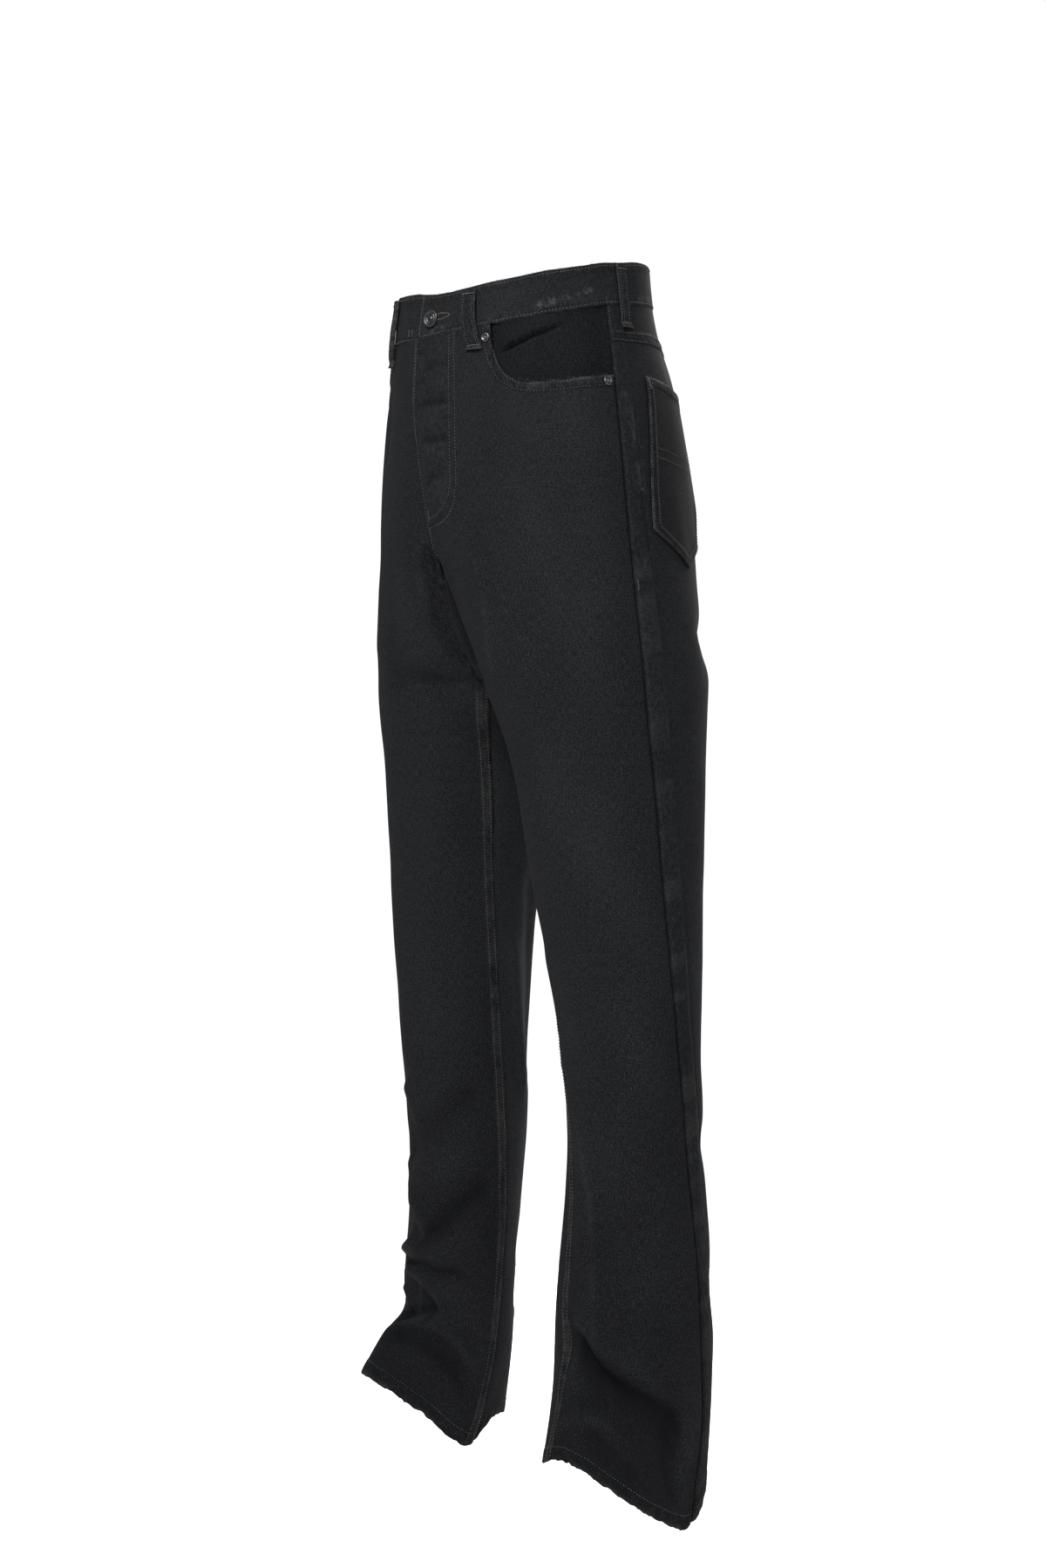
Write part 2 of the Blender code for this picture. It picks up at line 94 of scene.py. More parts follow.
# level, half width, front depth, back depth
TRUNK: Table = (
    (0.000, 0.1450, 0.1140, 0.1120),
    (-0.040, 0.1480, 0.1190, 0.1170),
    (-0.060, 0.1520, 0.1200, 0.1215),
    (-0.115, 0.1630, 0.1230, 0.1410),
    (-0.160, 0.1710, 0.1240, 0.1505),
    (-0.210, 0.1790, 0.1240, 0.1570),
    (-0.260, 0.1850, 0.1235, 0.1605),
    (-0.325, 0.1910, 0.1220, 0.1600),
    (-0.392, 0.1960, 0.1200, 0.1560),
)

# level, centre x, centre y, half width, front half depth, back half depth, inseam turn, side seam turn
LEG_LEFT: Table = (
    (-0.200, 0.0930, 0.0180, 0.0900, 0.1380, 0.1380, 20, 0),
    (-0.392, 0.0990, 0.0240, 0.0970, 0.1120, 0.1220, 12, -4),
    (-0.460, 0.1090, 0.0270, 0.0910, 0.0945, 0.1005, 4, -6),
    (-0.575, 0.1250, 0.0252, 0.0790, 0.0825, 0.0875, 12, 0),
    (-0.740, 0.1500, 0.0259, 0.0650, 0.0654, 0.0684, 34, 9),
    (-0.820, 0.1560, 0.0263, 0.0620, 0.0636, 0.0656, 40, 15),
    (-0.980, 0.1620, 0.0229, 0.0620, 0.0781, 0.0781, 32, 28),
    (-1.060, 0.1660, 0.0201, 0.0590, 0.0840, 0.0780, 40, 33),
    (-1.130, 0.1690, 0.0105, 0.0560, 0.0880, 0.0800, 46, 28),
)
LEG_RIGHT: Table = (
    (-0.200, 0.0930, 0.0180, 0.0900, 0.1380, 0.1380, 26, 0),
    (-0.392, 0.1010, 0.0160, 0.0970, 0.1150, 0.1190, 26, 0),
    (-0.460, 0.1120, 0.0148, 0.0910, 0.0988, 0.1028, 21, -4),
    (-0.575, 0.1290, 0.0112, 0.0790, 0.0790, 0.0820, 10, -8),
    (-0.740, 0.1510, 0.0224, 0.0650, 0.0680, 0.0700, -4, -16),
    (-0.820, 0.1560, 0.0288, 0.0630, 0.0641, 0.0641, -7, -20),
    (-0.980, 0.1620, 0.0259, 0.0620, 0.0594, 0.0574, -13, -26),
    (-1.060, 0.1660, 0.0229, 0.0590, 0.0672, 0.0572, -8, -28),
    (-1.130, 0.1690, 0.0022, 0.0580, 0.0860, 0.0727, -4, -28),
)

# s, how far the hem hangs below the hem level
HEM_LEFT: Line = (
    (0.0, -0.008), (0.0625, -0.010), (0.125, -0.018), (0.1875, -0.023), (0.25, -0.014), (0.3125, 0.006),
    (0.375, 0.028), (0.4375, 0.045), (0.49, 0.052), (0.53, 0.036), (0.5625, 0.024), (0.625, 0.018),
    (0.75, 0.020), (0.875, 0.008), (1.0, -0.008),
)
HEM_RIGHT: Line = (
    (0.0, 0.045), (0.03, 0.043), (0.0625, 0.031), (0.125, 0.005), (0.1875, -0.012), (0.25, -0.023),
    (0.3125, -0.028), (0.375, -0.026), (0.4375, -0.014), (0.5, 0.002), (0.5625, 0.012), (0.625, 0.020),
    (0.75, 0.028), (0.875, 0.022), (0.95, 0.020), (0.975, 0.032), (1.0, 0.045),
)

# s and level of both ends, half width in metres, push out in metres
FOLDS_LEFT: Table = (
    (0.225, -1.026, 0.440, -1.086, 0.021, -0.0090),
    (0.200, -1.070, 0.400, -1.110, 0.020, 0.0040),
    (0.160, -0.800, 0.245, -1.000, 0.018, 0.0045),
    (0.080, -0.300, 0.080, -0.392, 0.022, -0.0050),
    (0.150, -0.250, 0.210, -0.400, 0.026, 0.0040),
    (0.700, -0.360, 0.900, -0.420, 0.026, -0.0025),
    (0.600, -0.960, 0.850, -1.010, 0.024, -0.0050),
)
FOLDS_RIGHT: Table = (
    (0.240, -1.078, 0.030, -1.106, 0.018, 0.0060),
    (0.325, -1.036, 0.170, -1.047, 0.018, -0.0110),
    (0.430, -1.052, 0.260, -1.070, 0.018, -0.0100),
    (0.355, -0.990, 0.235, -0.940, 0.018, 0.0055),
    (0.370, -0.900, 0.350, -1.020, 0.026, -0.0050),
    (0.030, -0.280, 0.040, -0.370, 0.024, -0.0040),
    (0.700, -0.360, 0.900, -0.420, 0.026, -0.0025),
    (0.600, -0.960, 0.850, -1.010, 0.024, -0.0050),
)

# metres for one unit of s: where folds are measured, along seams, along stitched rows, and round the waist
FOLD_PACE = 0.42
SEWN_PACE = 0.46
ROW_PACE = 0.45
WAIST_PACE = 0.43

YOKE: Line = ((0.5, -0.0655), (0.65, -0.0672), (0.72, -0.0700), (1.0, -0.0900))
MOUTH: Line = (
    (0.2150, -0.0413), (0.2155, -0.0610), (0.2250, -0.0790), (0.2410, -0.0955), (0.2680, -0.1055),
    (0.2970, -0.1095), (0.3600, -0.1100), (0.4080, -0.1090), (0.4600, -0.1083), (0.5000, -0.1080),
)
FRONT_S = (0.0, 0.0140, 0.0320, 0.0580, 0.0880, 0.1280, 0.1700)
BAND_PIECE = "denim_waistband"
BAND_DEPTH = 0.0410
BAND_STANDS = 0.0008

# place round the waist, how far the waistband's top is pulled up there
BAND_RISE: Line = (
    (-0.34, 0.000), (-0.24, 0.006), (-0.17, 0.0115), (-0.10, 0.0110), (-0.03, 0.0095), (0.01, 0.0060),
    (0.05, 0.0030), (0.10, 0.0015), (0.20, 0.0025), (0.34, 0.0025), (0.44, 0.000),
)

# metres for one unit of s along the seams, by level
STRIDE: Line = (
    (-1.130, 0.440), (-0.980, 0.420), (-0.820, 0.390), (-0.575, 0.500), (-0.390, 0.520), (-0.260, 0.500),
    (-0.040, 0.430),
)


class Side(Enum):
    """Wearer's side of a piece; the value is the sign of its X."""

    LEFT = 1
    RIGHT = -1

    @property
    def word(self) -> str:
        """The side's name, as the frame writes it."""
        return self.name.lower()


class Slot(Enum):
    """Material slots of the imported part."""

    DENIM = "denim"
    FACING = "denim_facing"
    BUTTON = "button_metal"
    RIVET = "rivet_metal"


def ease(x: Array) -> Array:
    """Smooth step from 0 to 1."""
    x = np.clip(x, 0, 1)
    return x * x * (3 - 2 * x)


def read(table: Line, at: Array) -> Array:
    """Straight-line reading of a two-column table that rises in its first column."""
    return np.interp(at, [row[0] for row in table], [row[1] for row in table])


def bell(x: Array, width: float) -> Array:
    """A bell curve, 1 in the middle and e^-1 a width away."""
    return np.exp(-((x / width) ** 2))


def unit(v: Array) -> Array:
    """Vectors brought to a length of one along the last axis."""
    return v / np.maximum(np.linalg.norm(v, axis=-1, keepdims=True), TINY)


def hermite(knots: Array, values: Array, at: Array) -> Array:
    """Smooth reading between knots.

    Args:
        knots: rising places of the values.
        values: the value at each knot.
        at: where to read.

    Returns:
        The values there, with no corner at a knot.
    """
    slope = np.gradient(values, knots)
    at = np.clip(at, knots[0], knots[-1])
    k = np.clip(np.searchsorted(knots, at) - 1, 0, len(knots) - 2)
    h = knots[k + 1] - knots[k]
    t = (at - knots[k]) / h
    return (
        (2 * t**3 - 3 * t**2 + 1) * values[k]
        + (t**3 - 2 * t**2 + t) * h * slope[k]
        + (-2 * t**3 + 3 * t**2) * values[k + 1]
        + (t**3 - t**2) * h * slope[k + 1]
    )


def column(table: Table, place: int, level: Array) -> Array:
    """Smooth reading of one column of a table whose rows go down by level.

    Args:
        table: rows that start with their level.
        place: which column to read.
        level: where to read it.

    Returns:
        The column's values at those levels.
    """
    rows = np.array(table)[::-1]
    return hermite(rows[:, 0], rows[:, place], level)


def soft_noise(x: Array, y: Array, seed: int) -> Array:
    """Smooth noise from -1 to 1 with cells one unit wide, the same on every run.

    Args:
        x: first coordinate, in cells.
        y: second coordinate, in cells.
        seed: which noise.

    Returns:
        The noise at each place.
    """
    lattice = np.random.default_rng(seed).uniform(-1, 1, (256, 256))
    x, y = np.broadcast_arrays(np.asarray(x, float), np.asarray(y, float))
    i, j = np.floor(x).astype(int), np.floor(y).astype(int)
    u, v = ease(x - i), ease(y - j)
    low = lattice[i % 256, j % 256] * (1 - u) + lattice[(i + 1) % 256, j % 256] * u
    high = lattice[i % 256, (j + 1) % 256] * (1 - u) + lattice[(i + 1) % 256, (j + 1) % 256] * u
    return low * (1 - v) + high * v


def flecks(x: Array, y: Array, seed: int, base: float = 0.5, gain: float = 0.9) -> Array:
    """Patches of wear, 0 to 1, with cells one unit wide."""
    return np.clip(base + gain * soft_noise(x, y, seed), 0, 1)


def from_line(line: Line, s: Array, level: Array, pace: float = FOLD_PACE) -> tuple[Array, Array, Array]:
    """Where points lie by a line drawn on the cloth.

    Args:
        line: (s, level) points of the line.
        s: s of the points.
        level: level of the points.
        pace: metres for one unit of s.

    Returns:
        Distance in metres, which hand of the line (1 or -1), and the share of the line run, 0 to 1.
    """
    spots = np.array(line) * (pace, 1.0)
    spans = np.linalg.norm(np.diff(spots, axis=0), axis=1)
    starts = np.concatenate([[0], np.cumsum(spans)])
    px, py = np.asarray(s) * pace, np.asarray(level)
    best = np.full(np.broadcast(px, py).shape, 9.0)
    hand, run = np.ones_like(best), np.zeros_like(best)
    for a, b, span, start in zip(spots, spots[1:], spans, starts):
        dx, dy = b - a
        t = np.clip(((px - a[0]) * dx + (py - a[1]) * dy) / span**2, 0, 1)
        far = np.hypot(px - a[0] - t * dx, py - a[1] - t * dy)
        near = far < best
        best = np.where(near, far, best)
        hand = np.where(near, np.sign(dx * (py - a[1]) - dy * (px - a[0])), hand)
        run = np.where(near, (start + t * span) / starts[-1], run)
    return best, hand, run


def off_line(line: Line, s: Array, level: Array, pace: float = SEWN_PACE) -> Array:
    """Distance in metres from a line drawn on the cloth."""
    return from_line(line, s, level, pace)[0]


@dataclass(frozen=True)
class Crease:
    """A soft trough or ridge along a line, steeper on one hand than on the other."""

    line: Line
    left: float
    right: float
    push: float
    worn: float = 0.0

    def lift(self, s: Array, level: Array) -> Array:
        """How far the crease pushes the cloth out.

        Args:
            s: s of the places.
            level: their level.

        Returns:
            Metres along the normal.
        """
        far, hand, run = from_line(self.line, s, level)
        width = np.where(hand > 0, self.left, self.right)
        return self.push * ease(np.minimum(run, 1 - run) * 5 + 0.1) * bell(far, width)

    def rub(self, s: Array, level: Array) -> Array:
        """How worn the crease's line is, 0 to 1.

        Args:
            s: s of the places.
            level: their level.

        Returns:
            A number for each place.
        """
        far, _, run = from_line(self.line, s, level)
        patchy = flecks(s * 30, level / 0.02, 29, 0.5, 1.0)
        return 0.5 * self.worn * ease(np.minimum(run, 1 - run) * 4) * bell(far, 0.0030) * patchy


def creases(*rows: tuple) -> tuple[Crease, ...]:
    """Creases from rows of two widths, push, wear and points, all in thousandths but the wear."""
    return tuple(
        Crease(tuple((s / 1000, z / 1000) for s, z in line), left / 1000, right / 1000, push / 1000, worn)
        for left, right, push, worn, *line in rows
    )


CREASES_LEFT = creases(
    (6, 11, 2.2, 0.14, (146, -785), (176, -807), (200, -843), (224, -872), (240, -912), (252, -947),
     (254, -985), (252, -1020)),
    (5.5, 18, -8.5, 0.0, (214, -990), (216, -1008), (228, -1024), (260, -1036), (320, -1040),
     (376, -1042), (412, -1046), (434, -1060), (436, -1082)),
    (12, 7, 2.6, 0.0, (205, -990), (262, -1014), (310, -1020), (350, -1023), (400, -1026)),
    (6, 6, 2, 0.08, (242, -977), (207, -1002), (192, -1030), (186, -1060)),
    (7, 7, 3.6, 0.06, (154, -1112), (194, -1094), (240, -1083), (276, -1078), (312, -1078)),
    (10, 6, -3, 0.0, (214, -1078), (256, -1067), (292, -1062)),
    (6, 13, -3.2, 0.0, (236, -1094), (300, -1101), (362, -1108)),
    (6, 6, 2.2, 0.1, (420, -1040), (440, -1050), (452, -1068), (446, -1090), (452, -1112)),
    (10, 8, -2.4, 0.0, (408, -1070), (420, -1090), (430, -1110)),
    (12, 12, 1.2, 0.0, (115, -640), (108, -720), (120, -775)),
    (7, 7, -8.5, 0.0, (16, -268), (24, -290), (44, -325), (66, -362), (64, -386)),
    (5, 8, 1.5, 0.12, (143, -259), (175, -297), (199, -343), (216, -415)),
    (10, 16, -1.2, 0.0, (20, -356), (70, -384), (140, -404)),
    (16, 20, -1.6, 0.0, (300, -980), (360, -986), (430, -972)),
    (14, 20, -2.8, 0.0, (640, -330), (760, -372), (880, -398), (960, -404)),
    (16, 22, 2, 0.0, (660, -372), (780, -412), (900, -436)),
    (12, 18, -2.4, 0.0, (600, -742), (700, -760), (820, -748), (900, -730)),
    (14, 16, 2, 0.0, (620, -786), (720, -800), (860, -790)),
    (14, 20, -1.8, 0.0, (560, -820), (680, -842), (800, -834)),
    (12, 18, -3.2, 0.0, (640, -930), (720, -962), (830, -978), (900, -970)),
    (14, 18, 2.6, 0.0, (620, -1010), (740, -1036), (860, -1030)),
    (12, 18, -2.2, 0.0, (600, -1066), (700, -1078), (820, -1070)),
)
CREASES_RIGHT = creases(
    (7, 10, 3.4, 0.22, (330, -916), (258, -952), (262, -968), (330, -984), (416, -998)),
    (8, 8, 1.6, 0.22, (400, -884), (340, -912), (276, -938)),
    (8, 10, 1.6, 0.16, (354, -805), (308, -825), (286, -850)),
    (5, 5, 1.8, 0.2, (412, -1017), (340, -1016), (277, -1020), (210, -1030), (176, -1043), (188, -1053),
     (228, -1060), (330, -1074)),
    (9, 6, -4.2, 0.1, (168, -1043), (214, -1055), (298, -1064), (350, -1071), (400, -1076)),
    (4, 6, 1.6, 0.16, (276, -1026), (256, -1060)),
    (4, 6, 1.4, 0.14, (390, -1034), (312, -1062)),
    (6, 10, 3.6, 0.0, (358, -1092), (300, -1076), (228, -1064), (170, -1058), (101, -1060), (30, -1071)),
    (6, 12, -3.6, 0.0, (337, -1091), (219, -1081), (154, -1076), (90, -1082), (36, -1092)),
    (14, 18, -3.6, 0.0, (400, -884), (325, -868), (209, -846), (117, -823), (50, -806)),
    (16, 16, 2.4, 0.0, (370, -920), (260, -906), (160, -884), (50, -862)),
    (10, 18, -4.2, 0.0, (290, -984), (236, -964), (164, -940), (100, -920), (32, -902)),
    (14, 16, 2.2, 0.0, (240, -992), (150, -975), (60, -950)),
    (6, 9, -3.2, 0.0, (420, -1004), (300, -1003), (200, -1004), (100, -994)),
    (5, 5, 1.2, 0.12, (31, -259), (36, -298), (37, -341)),
    (6, 8, -2.6, 0.0, (16, -262), (20, -310), (24, -352), (18, -386)),
    (12, 20, -1.6, 0.0, (40, -392), (150, -386), (300, -370)),
    (14, 18, 1.8, 0.0, (60, -280), (76, -330), (92, -392)),
    (12, 18, -1.6, 0.0, (180, -80), (160, -120), (170, -180)),
    (14, 20, -2.6, 0.0, (640, -334), (740, -368), (870, -402), (960, -398)),
    (16, 22, 2, 0.0, (670, -376), (790, -416), (900, -430)),
    (6, 10, 2.2, 0.0, (962, -640), (954, -719), (940, -772), (926, -830)),
    (12, 16, -2.2, 0.0, (900, -560), (884, -700), (872, -820)),
    (12, 18, -2.6, 0.0, (600, -750), (690, -764), (800, -756)),
    (14, 18, 2, 0.0, (580, -800), (700, -812), (840, -800)),
    (12, 18, -3.4, 0.0, (660, -940), (740, -966), (840, -972), (920, -958)),
    (14, 18, 2.6, 0.0, (620, -1016), (720, -1034), (860, -1038)),
    (12, 18, -2, 0.0, (590, -1064), (700, -1076), (810, -1074)),
)


@dataclass(frozen=True)
class LegCut:
    """One half of the garment: its leg sections, the hang of its hem and its folds."""

    side: Side
    leg: Table
    hang: Line
    folds: Table
    creases: tuple[Crease, ...]
    crisp: float = 1.5

    def trunk(self, s: Array, level: Array) -> tuple[Array, Array]:
        """Hip section: a half loop from the centre front to the centre back.

        Args:
            s: s of the places.
            level: their level.

        Returns:
            x away from the centre, and y.
        """
        half, front, back = (column(TRUNK, k, level) for k in (1, 2, 3))
        turn = np.pi * s
        return half * np.sin(turn), -np.where(s < 0.5, front, back) * np.cos(turn)

    def section(self, s: Array, level: Array) -> tuple[Array, Array]:
        """Leg section: a closed loop from the inseam round to the inseam.

        Args:
            s: s of the places.
            level: their level.

        Returns:
            x away from the centre, and y.
        """
        cx, cy, half, front, back, turn_in, turn_out = (column(self.leg, k, level) for k in range(1, 8))
        start = np.radians(turn_in)
        side = np.pi + np.radians(turn_out)
        whole = 2 * np.pi + start
        turn = np.where(s < 0.5, start + (side - start) * 2 * s, side + (whole - side) * (2 * s - 1))
        depth = np.where(np.sin(turn) > 0, front, back)
        return cx - half * np.cos(turn), cy - depth * np.sin(turn)

    def smooth(self, s: Array, level: Array) -> Array:
        """The cloth's outer face without its folds.

        Args:
            s: s of the places.
            level: their level.

        Returns:
            Points.
        """
        tx, ty = self.trunk(s, level)
        lx, ly = self.section(s, level)
        end = 1 - np.where(s < 0.5, rise(level, FRONT_RISE, FRONT_BEND), rise(level, BACK_RISE, BACK_BEND))
        bow = np.clip(np.sin(np.pi * s), 0, 1)
        inner = ease(bow * 1.15)
        weight = end ** (1 + 2.2 * bow**0.7) * (1 - inner) + ease((-0.20 - level) / 0.32) * inner
        inseam_x, inseam_y = self.section(np.zeros_like(level), level)
        near = ease(1 - bow * 2.6) * ease(1 - (CROTCH_LEVEL - level) / JOIN_SPREAD)
        lx = lx - near * inseam_x
        ly = ly - near * (inseam_y - CROTCH_Y)
        x = np.maximum((1 - weight) * tx + weight * lx, SEAM)
        y = (1 - weight) * ty + weight * ly
        c = np.cos(np.pi * s)
        z = level - ease(1 + level / BAND_FADE) * np.where(c > 0, BAND_DIP, BAND_LIFT) * c
        hem = ease((HEM_TILT_TOP - level) / (HEM_TILT_TOP - HEM_LEVEL))
        before, after = read(self.hang, (s - HANG_BLUR) % 1), read(self.hang, (s + HANG_BLUR) % 1)
        drop = (before + 2 * read(self.hang, s) + after) / 4
        return np.stack([self.side.value * x, y, z - hem * drop], axis=-1)

    def folded(self, s: Array, level: Array) -> Array:
        """The outer face with the solids' large folds.

        Args:
            s: s of the places.
            level: their level.

        Returns:
            Points.
        """
        push = np.zeros_like(level)
        for s0, z0, s1, z1, width, depth in self.folds:
            ax, ay = (s1 - s0) * FOLD_PACE, z1 - z0
            px, py = (s - s0) * FOLD_PACE, level - z0
            along = (px * ax + py * ay) / (ax * ax + ay * ay)
            off = (px * ay - py * ax) / np.hypot(ax, ay)
            reach = ease(1 - np.abs(along - 0.5) * 2 / 1.5 + 0.25)
            push = push + depth * reach * bell(off, width)
        return self.smooth(s, level) + self.normals(s, level, self.smooth) * push[..., None]

    def creased(self, s: Array, level: Array) -> Array:
        """The outer face with its large folds and its smaller creases.

        Args:
            s: s of the places.
            level: their level.

        Returns:
            Points.
        """
        push = self.crisp * sum(crease.lift(s, level) for crease in self.creases)
        push = push + 0.0007 * soft_noise(s * 9, level * 14, 3) + 0.0004 * soft_noise(s * 22, level * 30, 5)
        return self.folded(s, level) + self.normals(s, level, self.smooth) * push[..., None]

    def normals(self, s: Array, level: Array, shape: Face) -> Array:
        """Outward unit normals of one of the surfaces.

        Args:
            s: s of the places.
            level: their level.
            shape: the surface's method.

        Returns:
            Unit vectors, with a last axis of three.
        """
        e, f = 0.002, 0.0015
        across = shape(np.clip(s + e, 0, 1), level) - shape(np.clip(s - e, 0, 1), level)
        down = shape(s, level - f) - shape(s, level + f)
        return unit(np.cross(down, across) * self.side.value)

    def own_half(self, points: Array) -> Array:
        """The points, with none past the centre line.

        Args:
            points: the points.

        Returns:
            The points.
        """
        sign = self.side.value
        points[..., 0] = sign * np.maximum(sign * points[..., 0], 0)
        return points

    def painted_fold_light(self, s: Array, level: Array) -> Array:
        """Painted highlight on the creases' ridges and painted shade in their hollows: how much paler and
        darker.
        """
        lift = sum(crease.lift(s, level) for crease in self.creases) / 0.0030
        return np.clip(np.where(lift > 0, 0.45, 0.85) * lift, -1.5, 0.5)

    def rubbed(self, s: Array, level: Array) -> Array:
        """Wear along the creases' lines, 0 to 1."""
        return sum(crease.rub(s, level) for crease in self.creases if crease.worn)


def rise(level: Array, height: float, bend: float) -> Array:
    """Shape of the rise seam: 0 at the crotch, 1 where it has met the trunk."""
    up = np.clip((level - CROTCH_LEVEL) / height, 0, 1)
    return (1 - (1 - up) ** bend) ** (1 / bend)


LEFT_CUT = LegCut(Side.LEFT, LEG_LEFT, HEM_LEFT, FOLDS_LEFT, CREASES_LEFT)
RIGHT_CUT = LegCut(Side.RIGHT, LEG_RIGHT, HEM_RIGHT, FOLDS_RIGHT, CREASES_RIGHT, 2.1)


def around(turn: Array, level: Array, out: Array = 0.0) -> Array:
    """Points round the waist, over both halves.

    Args:
        turn: 0 centre front, 0.5 left seam, -0.5 right seam, 1 centre back, and on.
        level: level of the points.
        out: metres out from the cloth's outer face.

    Returns:
        Points, with a last axis of three.
    """
    turn = (np.asarray(turn, float) + 1) % 2 - 1
    s, level, out = np.broadcast_arrays(np.abs(turn), np.asarray(level, float), np.asarray(out, float))
    q = LEFT_CUT.smooth(s, level) + LEFT_CUT.normals(s, level, LEFT_CUT.smooth) * out[..., None]
    closer = SEAM * (2 - ease(s * 40) - ease((1 - s) * 40))
    q[..., 0] = np.where(s < 1e-9, 0, q[..., 0] - closer) * np.where(turn < 0, -1, 1)
    return q


def band_rise(turn: Array, level: Array) -> Array:
    """How far the waistband stretches up at the front, most at the wearer's right, and nothing at its foot.

    Args:
        turn: place round the waist.
        level: level of the points.

    Returns:
        Metres to add to the level.
    """
    near = (np.asarray(turn, float) + 1) % 2 - 1
    return read(BAND_RISE, near) * np.clip(1 + np.asarray(level) / BAND_DEPTH, 0, 1.05)


class NodeDesk:
    """Adds and joins the shader nodes of one material."""

    def __init__(self, name: str) -> None:
        """Starts a material with a Principled shader.

        Args:
            name: the material's name.
        """
        self.material = bpy.data.materials.new(name)
        self.material.use_nodes = True
        self.tree = self.material.node_tree
        self.shader = self.tree.nodes["Principled BSDF"]

    def add(self, kind: str, **settings: object) -> bpy.types.Node:
        """Adds a node and sets its properties.

        Args:
            kind: the node's type name.
            **settings: its properties.

        Returns:
            The new node.
        """
        node = self.tree.nodes.new(kind)
        for key, value in settings.items():
            setattr(node, key, value)
        return node

    def feed(self, socket: Socket, value: object) -> None:
        """Links a socket, or sets it to a plain value."""
        if isinstance(value, Socket):
            self.tree.links.new(value, socket)
        else:
            socket.default_value = value

    def shade(self, **inputs: object) -> None:
        """Feeds the shader's inputs, named with _ for each space."""
        for name, value in inputs.items():
            self.feed(self.shader.inputs[name.replace("_", " ")], value)

    def maths(self, operation: str, *values: object, clamp: bool = False) -> Socket:
        """A Math node's result.

        Args:
            operation: the node's operation.
            *values: its inputs, sockets or numbers.
            clamp: whether the result is held from 0 to 1.

        Returns:
            The result's socket.
        """
        node = self.add("ShaderNodeMath", operation=operation, use_clamp=clamp)
        for socket, value in zip(node.inputs, values):
            self.feed(socket, value)
        return node.outputs[0]

    def mix(self, share: object, first: object, second: object) -> Socket:
        """A colour between two.

        Args:
            share: 0 for the first, 1 for the second.
            first: a colour or its socket.
            second: a colour or its socket.

        Returns:
            The colour's socket.
        """
        node = self.add("ShaderNodeMix", data_type="RGBA")
        self.feed(node.inputs[0], share)
        self.feed(node.inputs[6], first)
        self.feed(node.inputs[7], second)
        return node.outputs[2]

    def noise(self, place: object, scale: tuple[float, ...], detail: float = 2.0) -> Socket:
        """Noise stretched by a scale for each axis.

        Args:
            place: the coordinates' socket.
            scale: cells in a metre, for each axis.
            detail: octaves.

        Returns:
            The noise's socket, 0 to 1.
        """
        mapping, node = self.add("ShaderNodeMapping"), self.add("ShaderNodeTexNoise")
        self.feed(mapping.inputs["Vector"], place)
        self.feed(mapping.inputs["Scale"], scale)
        self.feed(node.inputs["Vector"], mapping.outputs[0])
        self.feed(node.inputs["Scale"], 1.0)
        self.feed(node.inputs["Detail"], detail)
        return node.outputs["Fac"]

    def painted(self, name: str) -> Socket:
        """The socket of a number that each point of the mesh carries."""
        return self.add("ShaderNodeAttribute", attribute_name=name).outputs["Fac"]

    def bump(self, height: object, distance: float, before: object = None) -> Socket:
        """A Bump node's normal.

        Args:
            height: the height's socket.
            distance: metres for a height of one.
            before: the normal that it adds to.

        Returns:
            The normal's socket.
        """
        node = self.add("ShaderNodeBump")
        node.inputs["Distance"].default_value = distance
        self.feed(node.inputs["Height"], height)
        if before is not None:
            self.feed(node.inputs["Normal"], before)
        return node.outputs[0]


